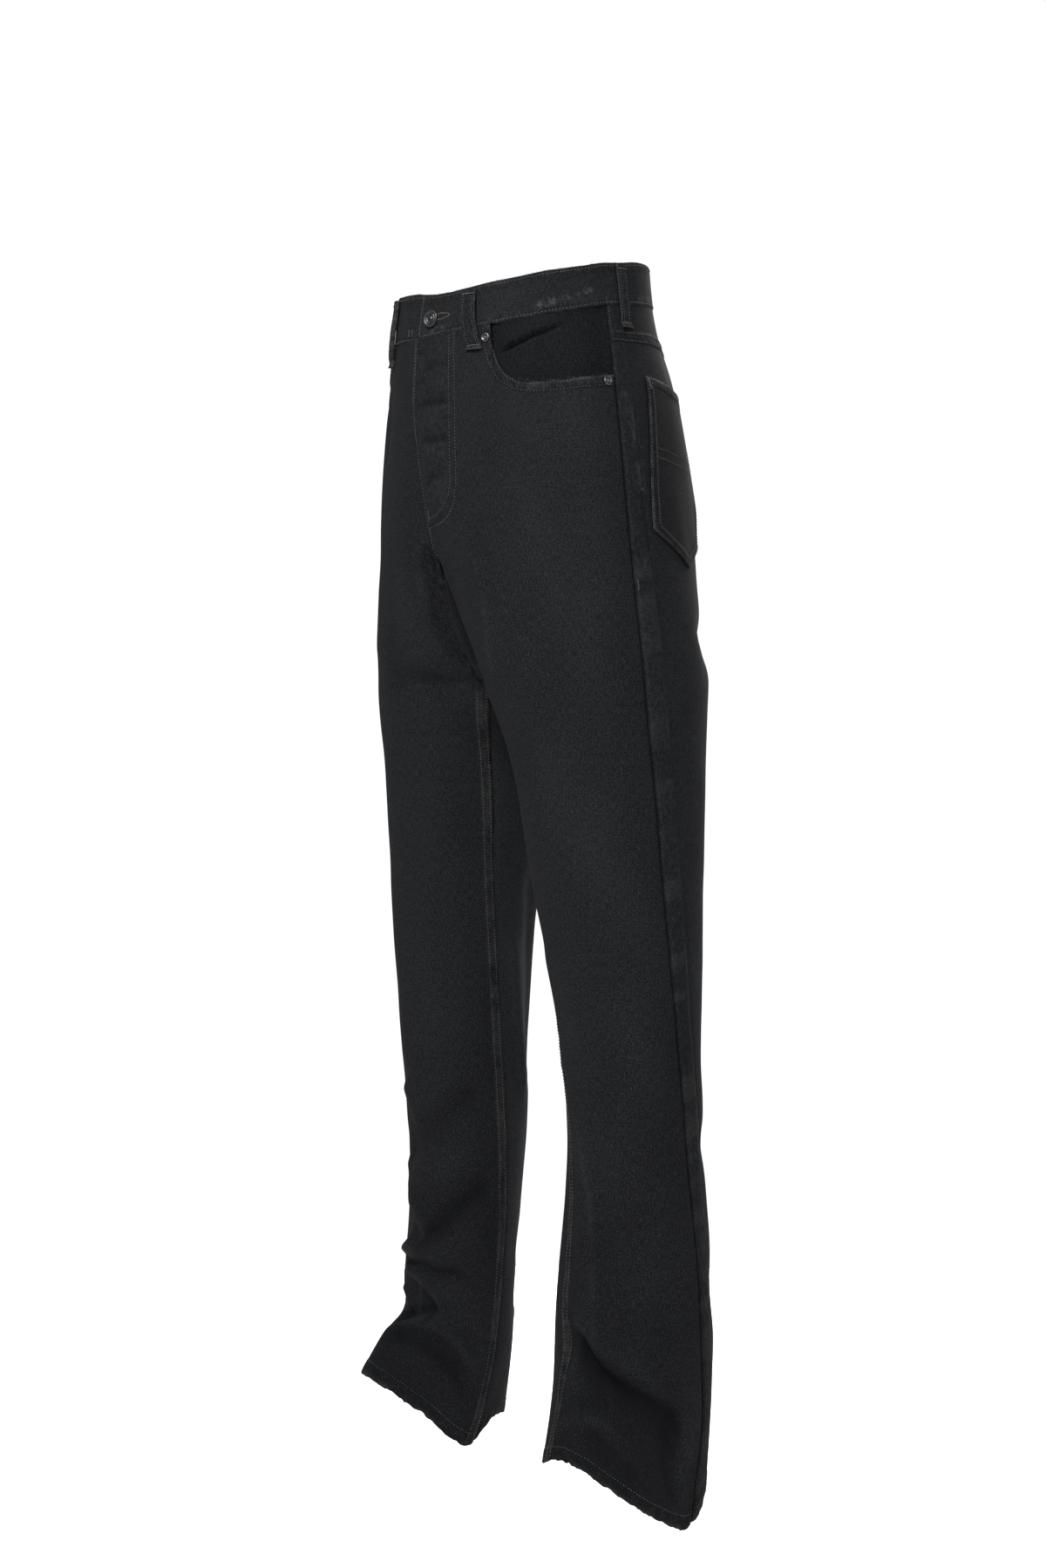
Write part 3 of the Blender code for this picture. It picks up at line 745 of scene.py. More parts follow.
@dataclass(frozen=True)
class DenimFinish:
    """Washed black twill: diagonal weave, warp streaks, soft mottling, and grey where it is rubbed."""

    name: str = "washed_black_denim"
    deep: Colour = (0.0075, 0.0079, 0.0090)
    pale: Colour = (0.0330, 0.0348, 0.0385)
    rubbed: Colour = (0.1500, 0.1500, 0.1450)
    level: float = 0.14
    # share of the points' tone number, which carries painted light and shade
    fade: float = 0.16
    twill_pitch: float = 0.00085
    twill_lean: float = 1.10
    roughness: float = 0.88
    twill_share: float = 0.14
    streak_share: float = 1.20
    grain_share: float = 1.90
    cloud_share: float = 0.40

    def make(self) -> Finish:
        """Builds the material: twill, streaks, grain, clouds, painted light and shade, then seams, wear and
        relief.
        """
        desk = NodeDesk(self.name)
        place = desk.add("ShaderNodeUVMap", uv_map="cloth").outputs[0]
        lean = desk.add("ShaderNodeMapping")
        desk.feed(lean.inputs["Vector"], place)
        lean.inputs["Rotation"].default_value = (0, 0, self.twill_lean)
        twill = desk.add("ShaderNodeTexWave", wave_type="BANDS", bands_direction="X")
        desk.feed(twill.inputs["Vector"], lean.outputs[0])
        twill.inputs["Scale"].default_value = 2 * np.pi / (20 * self.twill_pitch)
        twill.inputs["Distortion"].default_value = 0.6
        streak = desk.noise(place, (1150, 150, 1))
        grain = desk.noise(place, (760, 620, 1), 2.0)
        cloud = desk.noise(place, (15, 8, 1), 3.0)
        tone = self.level - (self.twill_share + self.streak_share + self.grain_share + self.cloud_share) / 2
        # The points' tone number adds painted light and shade to the colour.
        parts = (
            (twill.outputs["Fac"], self.twill_share), (streak, self.streak_share), (grain, self.grain_share),
            (cloud, self.cloud_share), (desk.painted("tone_and_painted_light"), self.fade),
        )
        for pattern, share in parts:
            tone = desk.maths("MULTIPLY_ADD", pattern, share, tone)
        pucker = desk.noise(place, (210, 150, 1), 2.0)
        sewn, worn = desk.painted("sewn"), desk.painted("worn")
        raised = desk.maths("MULTIPLY", sewn, desk.maths("SUBTRACT", pucker, 0.52))
        tone = desk.maths("MULTIPLY_ADD", raised, 1.5, tone, clamp=True)
        colour = desk.mix(tone, (*self.deep, 1), (*self.pale, 1))
        broken = desk.maths("MULTIPLY_ADD", desk.noise(place, (900, 420, 1), 3.0), 2.2, -0.65, clamp=True)
        colour = desk.mix(desk.maths("MULTIPLY", worn, broken, clamp=True), colour, (*self.rubbed, 1))
        weave = desk.maths("MULTIPLY_ADD", streak, 0.5, desk.maths("MULTIPLY", twill.outputs["Fac"], 0.5))
        normal = desk.bump(weave, 0.00022)
        normal = desk.bump(desk.maths("MULTIPLY", sewn, pucker), 0.0022, normal)
        desk.shade(Base_Color=colour, Normal=normal, Roughness=self.roughness, Specular_IOR_Level=0.06)
        desk.shade(Sheen_Weight=0.006, Sheen_Roughness=0.5)
        return desk.material


@dataclass(frozen=True)
class ThreadFinish:
    """Twisted sewing thread or a loose fibre, a little uneven in tone."""

    name: str
    deep: Colour
    pale: Colour

    def make(self) -> Finish:
        """Builds the material."""
        desk = NodeDesk(self.name)
        place = desk.add("ShaderNodeTexCoord").outputs["Object"]
        tone = desk.noise(place, (420, 420, 420), 2.0)
        tone = desk.maths("SUBTRACT", tone, 0.7)
        tone = desk.maths("MULTIPLY_ADD", desk.noise(place, (18, 18, 18), 2.0), 1.4, tone)
        colour = desk.mix(tone, (*self.deep, 1), (*self.pale, 1))
        twist = desk.bump(desk.noise(place, (2600, 2600, 2600), 1.0), 0.0001)
        desk.shade(Base_Color=colour, Normal=twist, Roughness=0.8, Specular_IOR_Level=0.2)
        return desk.material


@dataclass(frozen=True)
class MetalFinish:
    """Old dark metal, bright and dull in patches of noise, smoother where bright."""

    name: str
    dull: Colour
    bright: Colour
    roughness: float

    def make(self) -> Finish:
        """Builds the material."""
        desk = NodeDesk(self.name)
        place = desk.add("ShaderNodeTexCoord").outputs["Object"]
        patina = desk.noise(place, (900, 900, 900), 4.0)
        share = desk.maths("MULTIPLY_ADD", patina, 1.6, -0.35, clamp=True)
        colour = desk.mix(share, (*self.dull, 1), (*self.bright, 1))
        roughness = desk.maths("MULTIPLY_ADD", patina, -0.25, self.roughness + 0.12)
        desk.shade(Base_Color=colour, Roughness=roughness, Normal=desk.bump(patina, 0.00012), Metallic=1.0)
        return desk.material


@dataclass(frozen=True)
class Finishes:
    """The garment's materials, made once."""

    denim: Finish
    # inside: the same denim made darker, as painted shade, for the facing and the placket
    inside: Finish
    thread: Finish
    fibre: Finish
    button: Finish
    rivet: Finish
    worn_edge: Finish


def make_finishes() -> Finishes:
    """Makes every material of the garment."""
    return Finishes(
        denim=DenimFinish().make(),
        # The facing and placket denim: the same cloth darker, as painted shade where it sits back behind the
        # mouth and fly.
        inside=DenimFinish(
            "washed_black_denim_shaded", (0.0040, 0.0043, 0.0051), (0.0200, 0.0212, 0.0238),
        ).make(),
        thread=ThreadFinish("charcoal_topstitch", (0.024, 0.025, 0.025), (0.122, 0.122, 0.115)).make(),
        fibre=ThreadFinish("frayed_yarn", (0.012, 0.012, 0.013), (0.060, 0.059, 0.056)).make(),
        button=MetalFinish("aged_gunmetal", (0.034, 0.037, 0.040), (0.150, 0.160, 0.168), 0.44).make(),
        rivet=MetalFinish("aged_rivet_metal", (0.050, 0.051, 0.051), (0.190, 0.192, 0.186), 0.34).make(),
        worn_edge=ThreadFinish("worn_buttonhole", (0.030, 0.026, 0.023), (0.130, 0.105, 0.085)).make(),
    )


def mesh_piece(name: str, points: Array, faces: list, finish: Finish) -> Piece:
    """An object from points and faces, smooth shaded, its faces turned outwards.

    Args:
        name: the piece's name.
        points: its points, one to a row.
        faces: tuples of point numbers.
        finish: its material.

    Returns:
        The object, in the scene.
    """
    mesh = bpy.data.meshes.new(name)
    mesh.from_pydata(points.tolist(), [], faces)
    bm = bmesh.new()
    bm.from_mesh(mesh)
    bmesh.ops.recalc_face_normals(bm, faces=bm.faces)
    bm.to_mesh(mesh)
    bm.free()
    mesh.materials.append(finish)
    mesh.shade_smooth()
    piece = bpy.data.objects.new(name, mesh)
    bpy.context.scene.collection.objects.link(piece)
    return piece


def carry(piece: Piece, slot: Slot, *nodes: str) -> Piece:
    """Ties a piece to the part's body, and hides the frame nodes that it stands for.

    Args:
        piece: the new piece.
        slot: not used.
        *nodes: frame nodes that it replaces.

    Returns:
        The same piece.
    """
    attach(piece, "root")
    if nodes:
        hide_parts(*nodes)
    LOG.info("%s: %d points, %d faces", piece.name, len(piece.data.vertices), len(piece.data.polygons))
    return piece


def paint(piece: Piece, uv: Array, values: dict[str, Array]) -> None:
    """Writes the cloth's own coordinates and the numbers that its points carry.

    Args:
        piece: the mesh object.
        uv: metres across and along the cloth, for each point.
        values: a number for each point, by name.
    """
    mesh = piece.data
    layer = mesh.uv_layers.new(name="cloth")
    corners = np.empty(len(mesh.loops), int)
    mesh.loops.foreach_get("vertex_index", corners)
    layer.data.foreach_set("uv", uv[corners].astype(np.float32).ravel())
    for name, value in values.items():
        numbers = mesh.attributes.new(name, "FLOAT", "POINT").data
        numbers.foreach_set("value", value.astype(np.float32).ravel())


def grid_faces(rows: int, columns: int, start: int = 0, ring: bool = False) -> list:
    """Quads of a grid of points, row by row.

    Args:
        rows: how many rows.
        columns: how many columns.
        start: number of the first point.
        ring: whether the last column joins the first.

    Returns:
        Tuples of four point numbers.
    """
    i, j = np.meshgrid(np.arange(rows - 1), np.arange(columns if ring else columns - 1), indexing="ij")
    k = (j + 1) % columns
    above, below = i * columns, (i + 1) * columns
    quads = np.stack([above + j, below + j, below + k, above + k], axis=-1)
    return [tuple(q) for q in (quads.reshape(-1, 4) + start).tolist()]


def closed_tube(rings: Array) -> tuple[Array, list]:
    """A tube of rings, each end closed by a fan round its middle.

    Args:
        rings: points, ring by ring.

    Returns:
        All points, the two middles last, and tuples of point numbers.
    """
    rows, columns = rings.shape[:2]
    faces = grid_faces(rows, columns, ring=True)
    last, middle = (rows - 1) * columns, rows * columns
    for k in range(columns):
        n = (k + 1) % columns
        faces += [(k, n, middle), (last + n, last + k, middle + 1)]
    return np.concatenate([rings.reshape(-1, 3), [rings[0].mean(axis=0), rings[-1].mean(axis=0)]]), faces


def paint_tube(piece: Piece, uv: Array, worn: Array, sewn: Array) -> None:
    """Paints a closed tube, with no wear on the middles of its ends.

    Args:
        piece: the mesh object.
        uv: metres across and along the cloth, ring by ring.
        worn: how rubbed it is.
        sewn: how much sewing puckers it.
    """
    uv = uv.reshape(-1, 2)
    ends = np.zeros(2)
    values = {"worn": worn, "sewn": sewn, "tone_and_painted_light": np.ones(len(uv))}
    values = {name: np.concatenate([value.ravel(), ends]) for name, value in values.items()}
    values["tone_and_painted_light"][-2:] = 1
    paint(piece, np.concatenate([uv, uv[[0, -1]]]), values)


def rim_faces(fine: Array, coarse: Array) -> list:
    """Triangles between an edge and one that has every second of its points.

    Args:
        fine: point numbers of the finer edge.
        coarse: point numbers of the other.

    Returns:
        Tuples of three point numbers.
    """
    faces = []
    for k in range(len(coarse) - 1):
        a, b, c = (int(v) for v in fine[2 * k:2 * k + 3])
        p, q = int(coarse[k]), int(coarse[k + 1])
        faces += [(a, b, p), (b, q, p), (b, c, q)]
    return faces


def cloth_wall(name: str, outer: Array, inner: Array, uv: Array, values: dict[str, Array],
               finish: Finish) -> Piece:
    """A closed wall of cloth: a fine outer grid, and an inner one with every second row and column.

    Args:
        name: the piece's name.
        outer: outer points, an odd number of rows and of columns.
        inner: inner points, at every second of them.
        uv: the cloth's own coordinates at the outer points.
        values: numbers that the outer points carry.
        finish: its material.

    Returns:
        The object.
    """
    rows, columns = outer.shape[:2]
    low_rows, low_columns = inner.shape[:2]
    high = np.arange(rows * columns).reshape(rows, columns)
    low = np.arange(low_rows * low_columns).reshape(low_rows, low_columns) + rows * columns
    faces = grid_faces(rows, columns) + grid_faces(low_rows, low_columns, rows * columns)
    for place in (np.s_[0], np.s_[-1], np.s_[:, 0], np.s_[:, -1]):
        faces += rim_faces(high[place], low[place])
    points = np.concatenate([outer.reshape(-1, 3), inner.reshape(-1, 3)])
    piece = mesh_piece(name, points, faces, finish)
    both = {k: np.concatenate([v.ravel(), v[::2, ::2].ravel() * 0]) for k, v in values.items()}
    paint(piece, np.concatenate([uv.reshape(-1, 2), uv[::2, ::2].reshape(-1, 2)]), both)
    return piece


def grid_normals(points: Array, hand: int) -> Array:
    """Unit normals of a grid whose rows go down.

    Args:
        points: the grid.
        hand: 1 where the columns run to the wearer's left at the front, else -1.

    Returns:
        Outward unit vectors.
    """
    return unit(np.cross(np.gradient(points, axis=0), np.gradient(points, axis=1)) * hand)


def cloth_coordinates(points: Array, level: Array) -> Array:
    """Metres across the cloth from its middle column, and along it.

    Args:
        points: the grid.
        level: level of its points.

    Returns:
        Two numbers for each point.
    """
    steps = np.linalg.norm(np.diff(points, axis=1), axis=-1)
    across = np.concatenate([np.zeros((len(points), 1)), np.cumsum(steps, axis=1)], axis=1)
    across = across - across[:, [across.shape[1] // 2]]
    return np.stack([across, level], axis=-1)


@dataclass(frozen=True)
class Panel:
    """A piece of single cloth cut from the surface."""

    cut: LegCut
    rows: int
    columns: int
    wall: float = DENIM

    def grid(self) -> tuple[Array, Array]:
        """s and level of the piece's points."""
        raise NotImplementedError

    def relief(self, s: Array, level: Array) -> Array:
        """Metres that seams and layers under the cloth lift it."""
        return np.zeros_like(level)

    def worn(self, s: Array, level: Array) -> Array:
        """How rubbed the cloth is, 0 to 1."""
        return np.zeros_like(level)

    def sewn(self, s: Array, level: Array) -> Array:
        """How much sewing puckers the cloth, 0 to 1."""
        return np.zeros_like(level)

    def tone_and_painted_light(self, s: Array, level: Array) -> Array:
        """Tone with painted light and shade: paler over the hips and thighs, darker at the shins, the hem and
        the back.

        Args:
            s: s of the places.
            level: their level.

        Returns:
            A number for each place.
        """
        front = 0.45 + 0.55 * ease(np.cos(np.pi * s) * 0.9 + 0.9)
        # Painted light: the back of the leg by the inseam, from below the crotch to above the hem, made
        # paler.
        inner = 1.7 * ease((s - 0.84) / 0.10) * ease((-0.42 - level) / 0.08) * ease((level + 1.06) / 0.10)
        front = front * (1 - 0.45 * bell(s - 0.475, 0.045) * (s <= 0.5))
        height_tone = front * (1.22 * ease((level + 1.14) / 0.62) - 0.22) - 0.65 * ease((-1.05 - level) / 0.07)
        # Painted highlight and shade on the creases, and painted shade in the seams' grooves, added to the
        # tone.
        return height_tone + inner + self.cut.painted_fold_light(s, level) - 2.2 * self.shaded(s, level)

    def shaded(self, s: Array, level: Array) -> Array:
        """How much painted shade darkens the seams' grooves, 0 to 1."""
        # Painted shade in the side seam's groove.
        side = (s - 0.5) * read(STRIDE, level)
        return bell(side, 0.0011) * ease((-0.112 - level) / 0.01 + 0.5 + 2 * (s > 0.5))

    def face(self, s: Array, level: Array, out: Array = 0.0) -> Array:
        """A point on the finished outer face, or off it.

        Args:
            s: s of the places.
            level: their level.
            out: metres out from the face.

        Returns:
            Points.
        """
        s, level = np.broadcast_arrays(np.asarray(s, float), np.asarray(level, float))
        q = self.cut.creased(s, level)
        q = q + self.cut.normals(s, level, self.cut.folded) * (self.relief(s, level) + out)[..., None]
        return self.cut.own_half(q)

    def build(self, name: str, node: str, slot: Slot, finish: Finish) -> Piece:
        """Makes the piece in place of its node.

        Args:
            name: the piece's name.
            node: the frame node that it replaces.
            slot: its material slot.
            finish: its material.

        Returns:
            The object.
        """
        s, level = self.grid()
        outer = self.face(s, level)
        wall = self.wall + HEM_EXTRA * ease((HEM_LEVEL + HEM_DEPTH - level) / 0.003)
        inner = outer - grid_normals(outer, self.cut.side.value) * wall[..., None]
        inner = self.cut.own_half(inner[::2, ::2].copy())
        values = {
            "worn": np.clip(self.worn(s, level), 0, 1), "sewn": np.clip(self.sewn(s, level), 0, 1),
            "tone_and_painted_light": self.tone_and_painted_light(s, level),
        }
        piece = cloth_wall(name, outer, inner, cloth_coordinates(outer, level), values, finish)
        return carry(piece, slot, node)


def leg_rows(top: Array, rows: int) -> Array:
    """Levels of a leg panel's rows, from its top edge to the hem.

    Args:
        top: level of each column's top.
        rows: how many rows.

    Returns:
        Levels, rows by columns.
    """
    rise_rows = np.linspace(PANEL_TOP, CROTCH_LEVEL, RISE_ROWS + 1)[:-1]
    plain = np.concatenate([rise_rows, np.linspace(CROTCH_LEVEL, HEM_LEVEL, rows - RISE_ROWS)])
    share = np.clip((plain - FIXED_LEVEL) / (PANEL_TOP - FIXED_LEVEL), 0, 1)[:, None]
    return plain[:, None] + (top[None, :] - PANEL_TOP) * share


def in_hem(level: Array) -> Array:
    """1 on the hem's turning, 0 above it."""
    return ease((HEM_LEVEL + HEM_PUCKER - level) / 0.002)


def hem_lift(s: Array, level: Array, seed: int) -> Array:
    """Metres that the hem's turning lifts the cloth, in slanting ropes."""
    ropes = 1 + soft_noise(s * 60 + level * 60, 0.5, seed)
    return 0.0004 * ease((HEM_LEVEL + HEM_FELL - level) / 0.002) * ropes


def ragged(s: Array, level: Array, seed: int) -> Array:
    """Small bites and pulls along the hem's edge: level with its last rows moved."""
    edge = ease((HEM_LEVEL + 0.006 - level) / 0.006)
    return level + edge * (0.0012 * soft_noise(s * 90, 0.5, seed) + 0.0010 * soft_noise(s * 210, 1.5, seed))


@dataclass(frozen=True)
class FrontPanel(Panel):
    """Front leg panel, its outer top corner cut away for the pocket; the left one carries the fly."""

    rows: int = 429
    columns: int = 145
    inseam_rows: Size = (0.0030, 0.0105)
    drift: Line = (
        (-1.130, 0.052), (-1.090, 0.058), (-1.030, 0.064), (-0.950, 0.065), (-0.880, 0.057),
        (-0.800, 0.042), (-0.700, 0.020), (-0.600, 0.0),
    )
    # Line of painted shade in the hollow of the left thigh beside the rise seam.
    rise_shade_line: Line = (
        (0.012, -0.262), (0.026, -0.296), (0.044, -0.326), (0.064, -0.362), (0.060, -0.396),
    )
    strip_width: float = 0.0130
    mouth_turning: float = 0.0105
    fly_reach: float = 0.1240
    fly_turn: float = -0.2040
    fly_foot: float = -0.2470
    fly_lap: float = 0.0010
    fly_fullness: float = 1.7
    fly_puffs: Table = (
        (0.020, -0.1180, 0.112, -0.1215, 0.0050, -0.0016),
        (0.020, -0.1600, 0.110, -0.1640, 0.0046, -0.0018),
        (0.030, -0.2030, 0.104, -0.2000, 0.0056, -0.0015),
        (0.030, -0.0780, 0.112, -0.0760, 0.0050, -0.0010),
        (0.040, -0.0980, 0.100, -0.1000, 0.0110, 0.0012),
        (0.030, -0.1400, 0.100, -0.1420, 0.0110, 0.0014),
        (0.030, -0.1820, 0.100, -0.1820, 0.0110, 0.0013),
        (0.040, -0.2260, 0.080, -0.2180, 0.0090, 0.0009),
    )

    def grid(self) -> tuple[Array, Array]:
        """s and level of the piece's points."""
        mouth = np.array(MOUTH)
        plain = np.array([*FRONT_S, mouth[0, 0]])
        corner = len(plain) - 1
        t = np.linspace(0, corner + len(mouth) - 1, self.columns)
        knots = np.arange(len(mouth), dtype=float)
        at = np.clip(t - corner, 0, None)
        mouth_s, mouth_z = hermite(knots, mouth[:, 0], at), hermite(knots, mouth[:, 1], at)
        top_s = np.where(t < corner, np.interp(t, np.arange(len(plain)), plain), mouth_s)
        top_z = np.where(t < corner, PANEL_TOP, mouth_z) + TUCK * ease(1 - at)
        foot_s = np.linspace(0, 0.5, self.columns)
        level = leg_rows(top_z, self.rows)
        early = ease((top_z[None, :] - level) / 0.16) * np.clip(t - (len(FRONT_S) - 1), 0, 1)
        toward = np.maximum(early, ease((-0.25 - level) / 0.13))
        s = np.minimum(top_s, 0.5)[None, :] * (1 - toward) + foot_s[None, :] * toward
        return s, ragged(s, level, 11 + self.cut.side.value)

    def inseam_drift(self, level: Array) -> Array:
        """Metres that the twist of the left leg brings its inseam strip to the front."""
        return read(self.drift, level) * (self.cut.side is Side.LEFT)

    def inseam_edge(self, s: Array, level: Array) -> Array:
        """Metres from the line that the inseam strip starts at."""
        return s * read(STRIDE, level) - self.inseam_drift(level)

    def inseam_strip(self, s: Array, level: Array) -> Array:
        """1 on the felled strip of the inseam, 0 off it."""
        edge = self.inseam_edge(s, level)
        return ease((self.strip_width - edge) / 0.0030) * ease((edge + 0.0014) / 0.0014)

    def shaded(self, s: Array, level: Array) -> Array:
        """How much painted shade darkens the grooves of the side seam and the inseam, and the hollow by the
        rise, 0 to 1.

        Args:
            s: s of the places.
            level: their level.

        Returns:
            A number for each place.
        """
        edge = self.inseam_edge(s, level)
        below = ease((CROTCH_LEVEL - level) / 0.03 + 0.5)
        # Painted shade along the inseam's groove, below the crotch.
        shade = super().shaded(s, level) + 0.8 * bell(edge + 0.0012, 0.0012) * below
        if self.cut.side is Side.LEFT:
            # Painted shade in the hollow of the left thigh beside the rise seam.
            far, _, run = from_line(self.rise_shade_line, s, level)
            shade = shade + 1.1 * bell(far, 0.0060) * ease(np.minimum(run, 1 - run) * 4)
        return shade

    def in_fly(self, s: Array, level: Array) -> Array:
        """1 inside the fly's curved stitching, 0 outside.

        Args:
            s: s of the places.
            level: their level.

        Returns:
            A number for each place.
        """
        down = np.clip((self.fly_turn - level) / (self.fly_turn - self.fly_foot), 0, 1)
        reach = self.fly_reach * np.sqrt(1 - down**2)
        return ease((reach - s) * WAIST_PACE / 0.003 + 0.5)

    def relief(self, s: Array, level: Array) -> Array:
        """Metres that seams and layers under the cloth lift it.

        Args:
            s: s of the places.
            level: their level.

        Returns:
            Metres for each place.
        """
        edge = self.inseam_edge(s, level)
        below = ease((CROTCH_LEVEL - level) / 0.03 + 0.5)
        rope = soft_noise(level / 0.0085, edge / 0.02, 21)
        lift = below * self.inseam_strip(s, level) * (0.0010 + 0.00045 * rope)
        lift = lift * (0.3 + 0.7 * ease(edge / 0.0014))
        side = (0.5 - s) * read(STRIDE, level)
        lift = lift - 0.0014 * bell(side, 0.0016) * ease((-0.109 - level) / 0.01 + 0.5)
        far = off_line(MOUTH, s, level)
        turned = 0.0007 + 0.0003 * soft_noise(s * 60, level / 0.007, 23)
        lift = lift + ease((self.mouth_turning - far) / 0.003) * turned
        if self.cut.side is Side.LEFT:
            fly = self.in_fly(s, level)
            lift = lift + 0.0011 * fly + 0.0009 * ease(1 - s / 0.016) * ease((level + 0.30) / 0.06)
            for s0, z0, s1, z1, width, push in self.fly_puffs:
                puff = Crease(((s0, z0), (s1, z1)), width, width, push * self.fly_fullness)
                lift = lift + puff.lift(s, level) * fly
            seam = ease((0.0125 - edge) / 0.003) * (1 - below) * (1 - fly)
            lift = lift + 0.0008 * seam
        return lift + hem_lift(s, level, 27)

    def face(self, s: Array, level: Array, out: Array = 0.0) -> Array:
        """A point on the finished face; the fly's edge laps over the other front.

        Args:
            s: s of the places.
            level: their level.
            out: metres out from the face.

        Returns:
            Points.
        """
        q = super().face(s, level, out)
        if self.cut.side is Side.LEFT:
            lap = self.fly_lap * (1 - ease((-0.100 - level) / 0.11)) * ease(1 - s / 0.034)
            q[..., 0] = q[..., 0] - lap
            q[..., 1] = q[..., 1] - lap * 0.30
        return q

    def worn(self, s: Array, level: Array) -> Array:
        """How rubbed the cloth is, 0 to 1.

        Args:
            s: s of the places.
            level: their level.

        Returns:
            A number for each place.
        """
        stride = read(STRIDE, level)
        rub = self.cut.rubbed(s, level)
        far = off_line(MOUTH, s, level)
        patchy = flecks(s * 40, level / 0.012, 31)
        foot = ease((s - 0.24) / 0.05)
        rub = rub + (0.38 * bell(far, 0.0022) + 0.10 * ease((0.010 - far) / 0.004)) * patchy * (0.35 + foot)
        rub = rub + 0.35 * bell(HEM_LEVEL - level, 0.0025) * patchy
        rub = rub + 0.18 * ease((CROTCH_LEVEL - level) / 0.02) * self.inseam_strip(s, level) * patchy
        if self.cut.side is Side.LEFT:
            rub = rub + 0.50 * bell(s * stride, 0.0012) * ease((level + 0.26) / 0.02)
            rub = rub + 0.04 * self.in_fly(s, level) * patchy
        return rub

    def sewn(self, s: Array, level: Array) -> Array:
        """How much sewing puckers the cloth, 0 to 1.

        Args:
            s: s of the places.
            level: their level.

        Returns:
            A number for each place.
        """
        far = off_line(MOUTH, s, level)
        strip = self.inseam_strip(s, level) * ease((-0.25 - level) / 0.01)
        sewn = np.maximum(strip, ease((0.0115 - far) / 0.003))
        sewn = np.maximum(sewn, in_hem(level))
        if self.cut.side is Side.LEFT:
            sewn = np.maximum(sewn, 0.65 * self.in_fly(s, level))
        return sewn


@dataclass(frozen=True)
class BackPanel(Panel):
    """Back leg panel; the side seam's allowance is pressed under it and the rise seam is felled."""

    rows: int = 429
    columns: int = 129
    allowance: float = 0.0165
    rubbed_line: Line = ((0.520, -0.128), (0.530, -0.150), (0.537, -0.182), (0.540, -0.214))

    def roping(self, side: Array, level: Array) -> Array:
        """Slanting high and low spots that the pressed seam allowance draws in the cloth, -1 to 1."""
        return soft_noise((level - 0.35 * side) / 0.0115, side / 0.05, 41)

    def grid(self) -> tuple[Array, Array]:
        """s and level of the piece's points."""
        s = np.linspace(0.5, 1, self.columns)
        level = leg_rows(read(YOKE, s) + LAYER_GAP + 0.0001, self.rows)
        s = np.broadcast_to(s, level.shape)
        return s, ragged(s, level, 17 + self.cut.side.value)

    def relief(self, s: Array, level: Array) -> Array:
        """Metres that seams and layers under the cloth lift it.

        Args:
            s: s of the places.
            level: their level.

        Returns:
            Metres for each place.
        """
        stride = read(STRIDE, level)
        side = (s - 0.5) * stride
        strip = ease((self.allowance + 0.0025 - side) / 0.0025)
        rope = 0.00045 * self.roping(side, level) + 0.00025 * soft_noise(level / 0.009, side / 0.02, 43)
        lift = strip * (0.0012 + 1.5 * rope * ease((-0.26 - level) / 0.06 + 0.3)) * ease(side / 0.0030)
        lift = lift - 0.0005 * bell(side - self.allowance - 0.0035, 0.0015)
        lift = lift - 0.0014 * bell(side, 0.0014)
        seat = (1 - s) * stride
        above = ease((level - CROTCH_LEVEL) / 0.02 + 0.5)
        lift = lift + 0.0008 * ease((0.0125 - seat) / 0.003) * above * (self.cut.side is Side.LEFT)
        lift = lift - 0.0010 * bell(seat - 0.0016, 0.0012) * (1 - above)
        below_yoke = read(YOKE, s) - level
        lift = lift + 0.0007 * ease((0.0105 - below_yoke) / 0.003)
        return lift + hem_lift(s, level, 47)

    def worn(self, s: Array, level: Array) -> Array:
        """How rubbed the cloth is, 0 to 1.

        Args:
            s: s of the places.
            level: their level.

        Returns:
            A number for each place.
        """
        stride = read(STRIDE, level)
        side = (s - 0.5) * stride
        patchy = flecks(s * 40, level / 0.014, 51)
        high = np.clip(1.3 * self.roping(side, level), 0, 1) * ease((-0.26 - level) / 0.06 + 0.3)
        strip = ease((self.allowance + 0.0015 - side) / 0.0025)
        rub = self.cut.rubbed(s, level) + 0.13 * strip * high
        rub = rub + 0.10 * bell(side - self.allowance, 0.0012) * patchy
        rub = rub + 0.10 * bell(side - 0.0026, 0.0009) * patchy
        far = off_line(self.rubbed_line, s, level)
        rub = rub + 0.60 * bell(far, 0.0036) * flecks(s * 160, level / 0.006, 53, 0.2, 1.0)
        rub = rub + 0.35 * bell(HEM_LEVEL - level, 0.0025) * patchy
        below_yoke = read(YOKE, s) - level
        return rub + 0.35 * bell(below_yoke, 0.0015) * patchy

    def sewn(self, s: Array, level: Array) -> Array:
        """How much sewing puckers the cloth, 0 to 1.

        Args:
            s: s of the places.
            level: their level.

        Returns:
            A number for each place.
        """
        stride = read(STRIDE, level)
        strip = 0.6 * ease((self.allowance + 0.002 - (s - 0.5) * stride) / 0.004)
        seat = ease((0.0135 - (1 - s) * stride) / 0.003) * ease((level - CROTCH_LEVEL) / 0.01)
        strip = np.maximum(strip, seat)
        strip = np.maximum(strip, ease((0.0115 - read(YOKE, s) + level) / 0.003))
        return np.maximum(strip, in_hem(level))


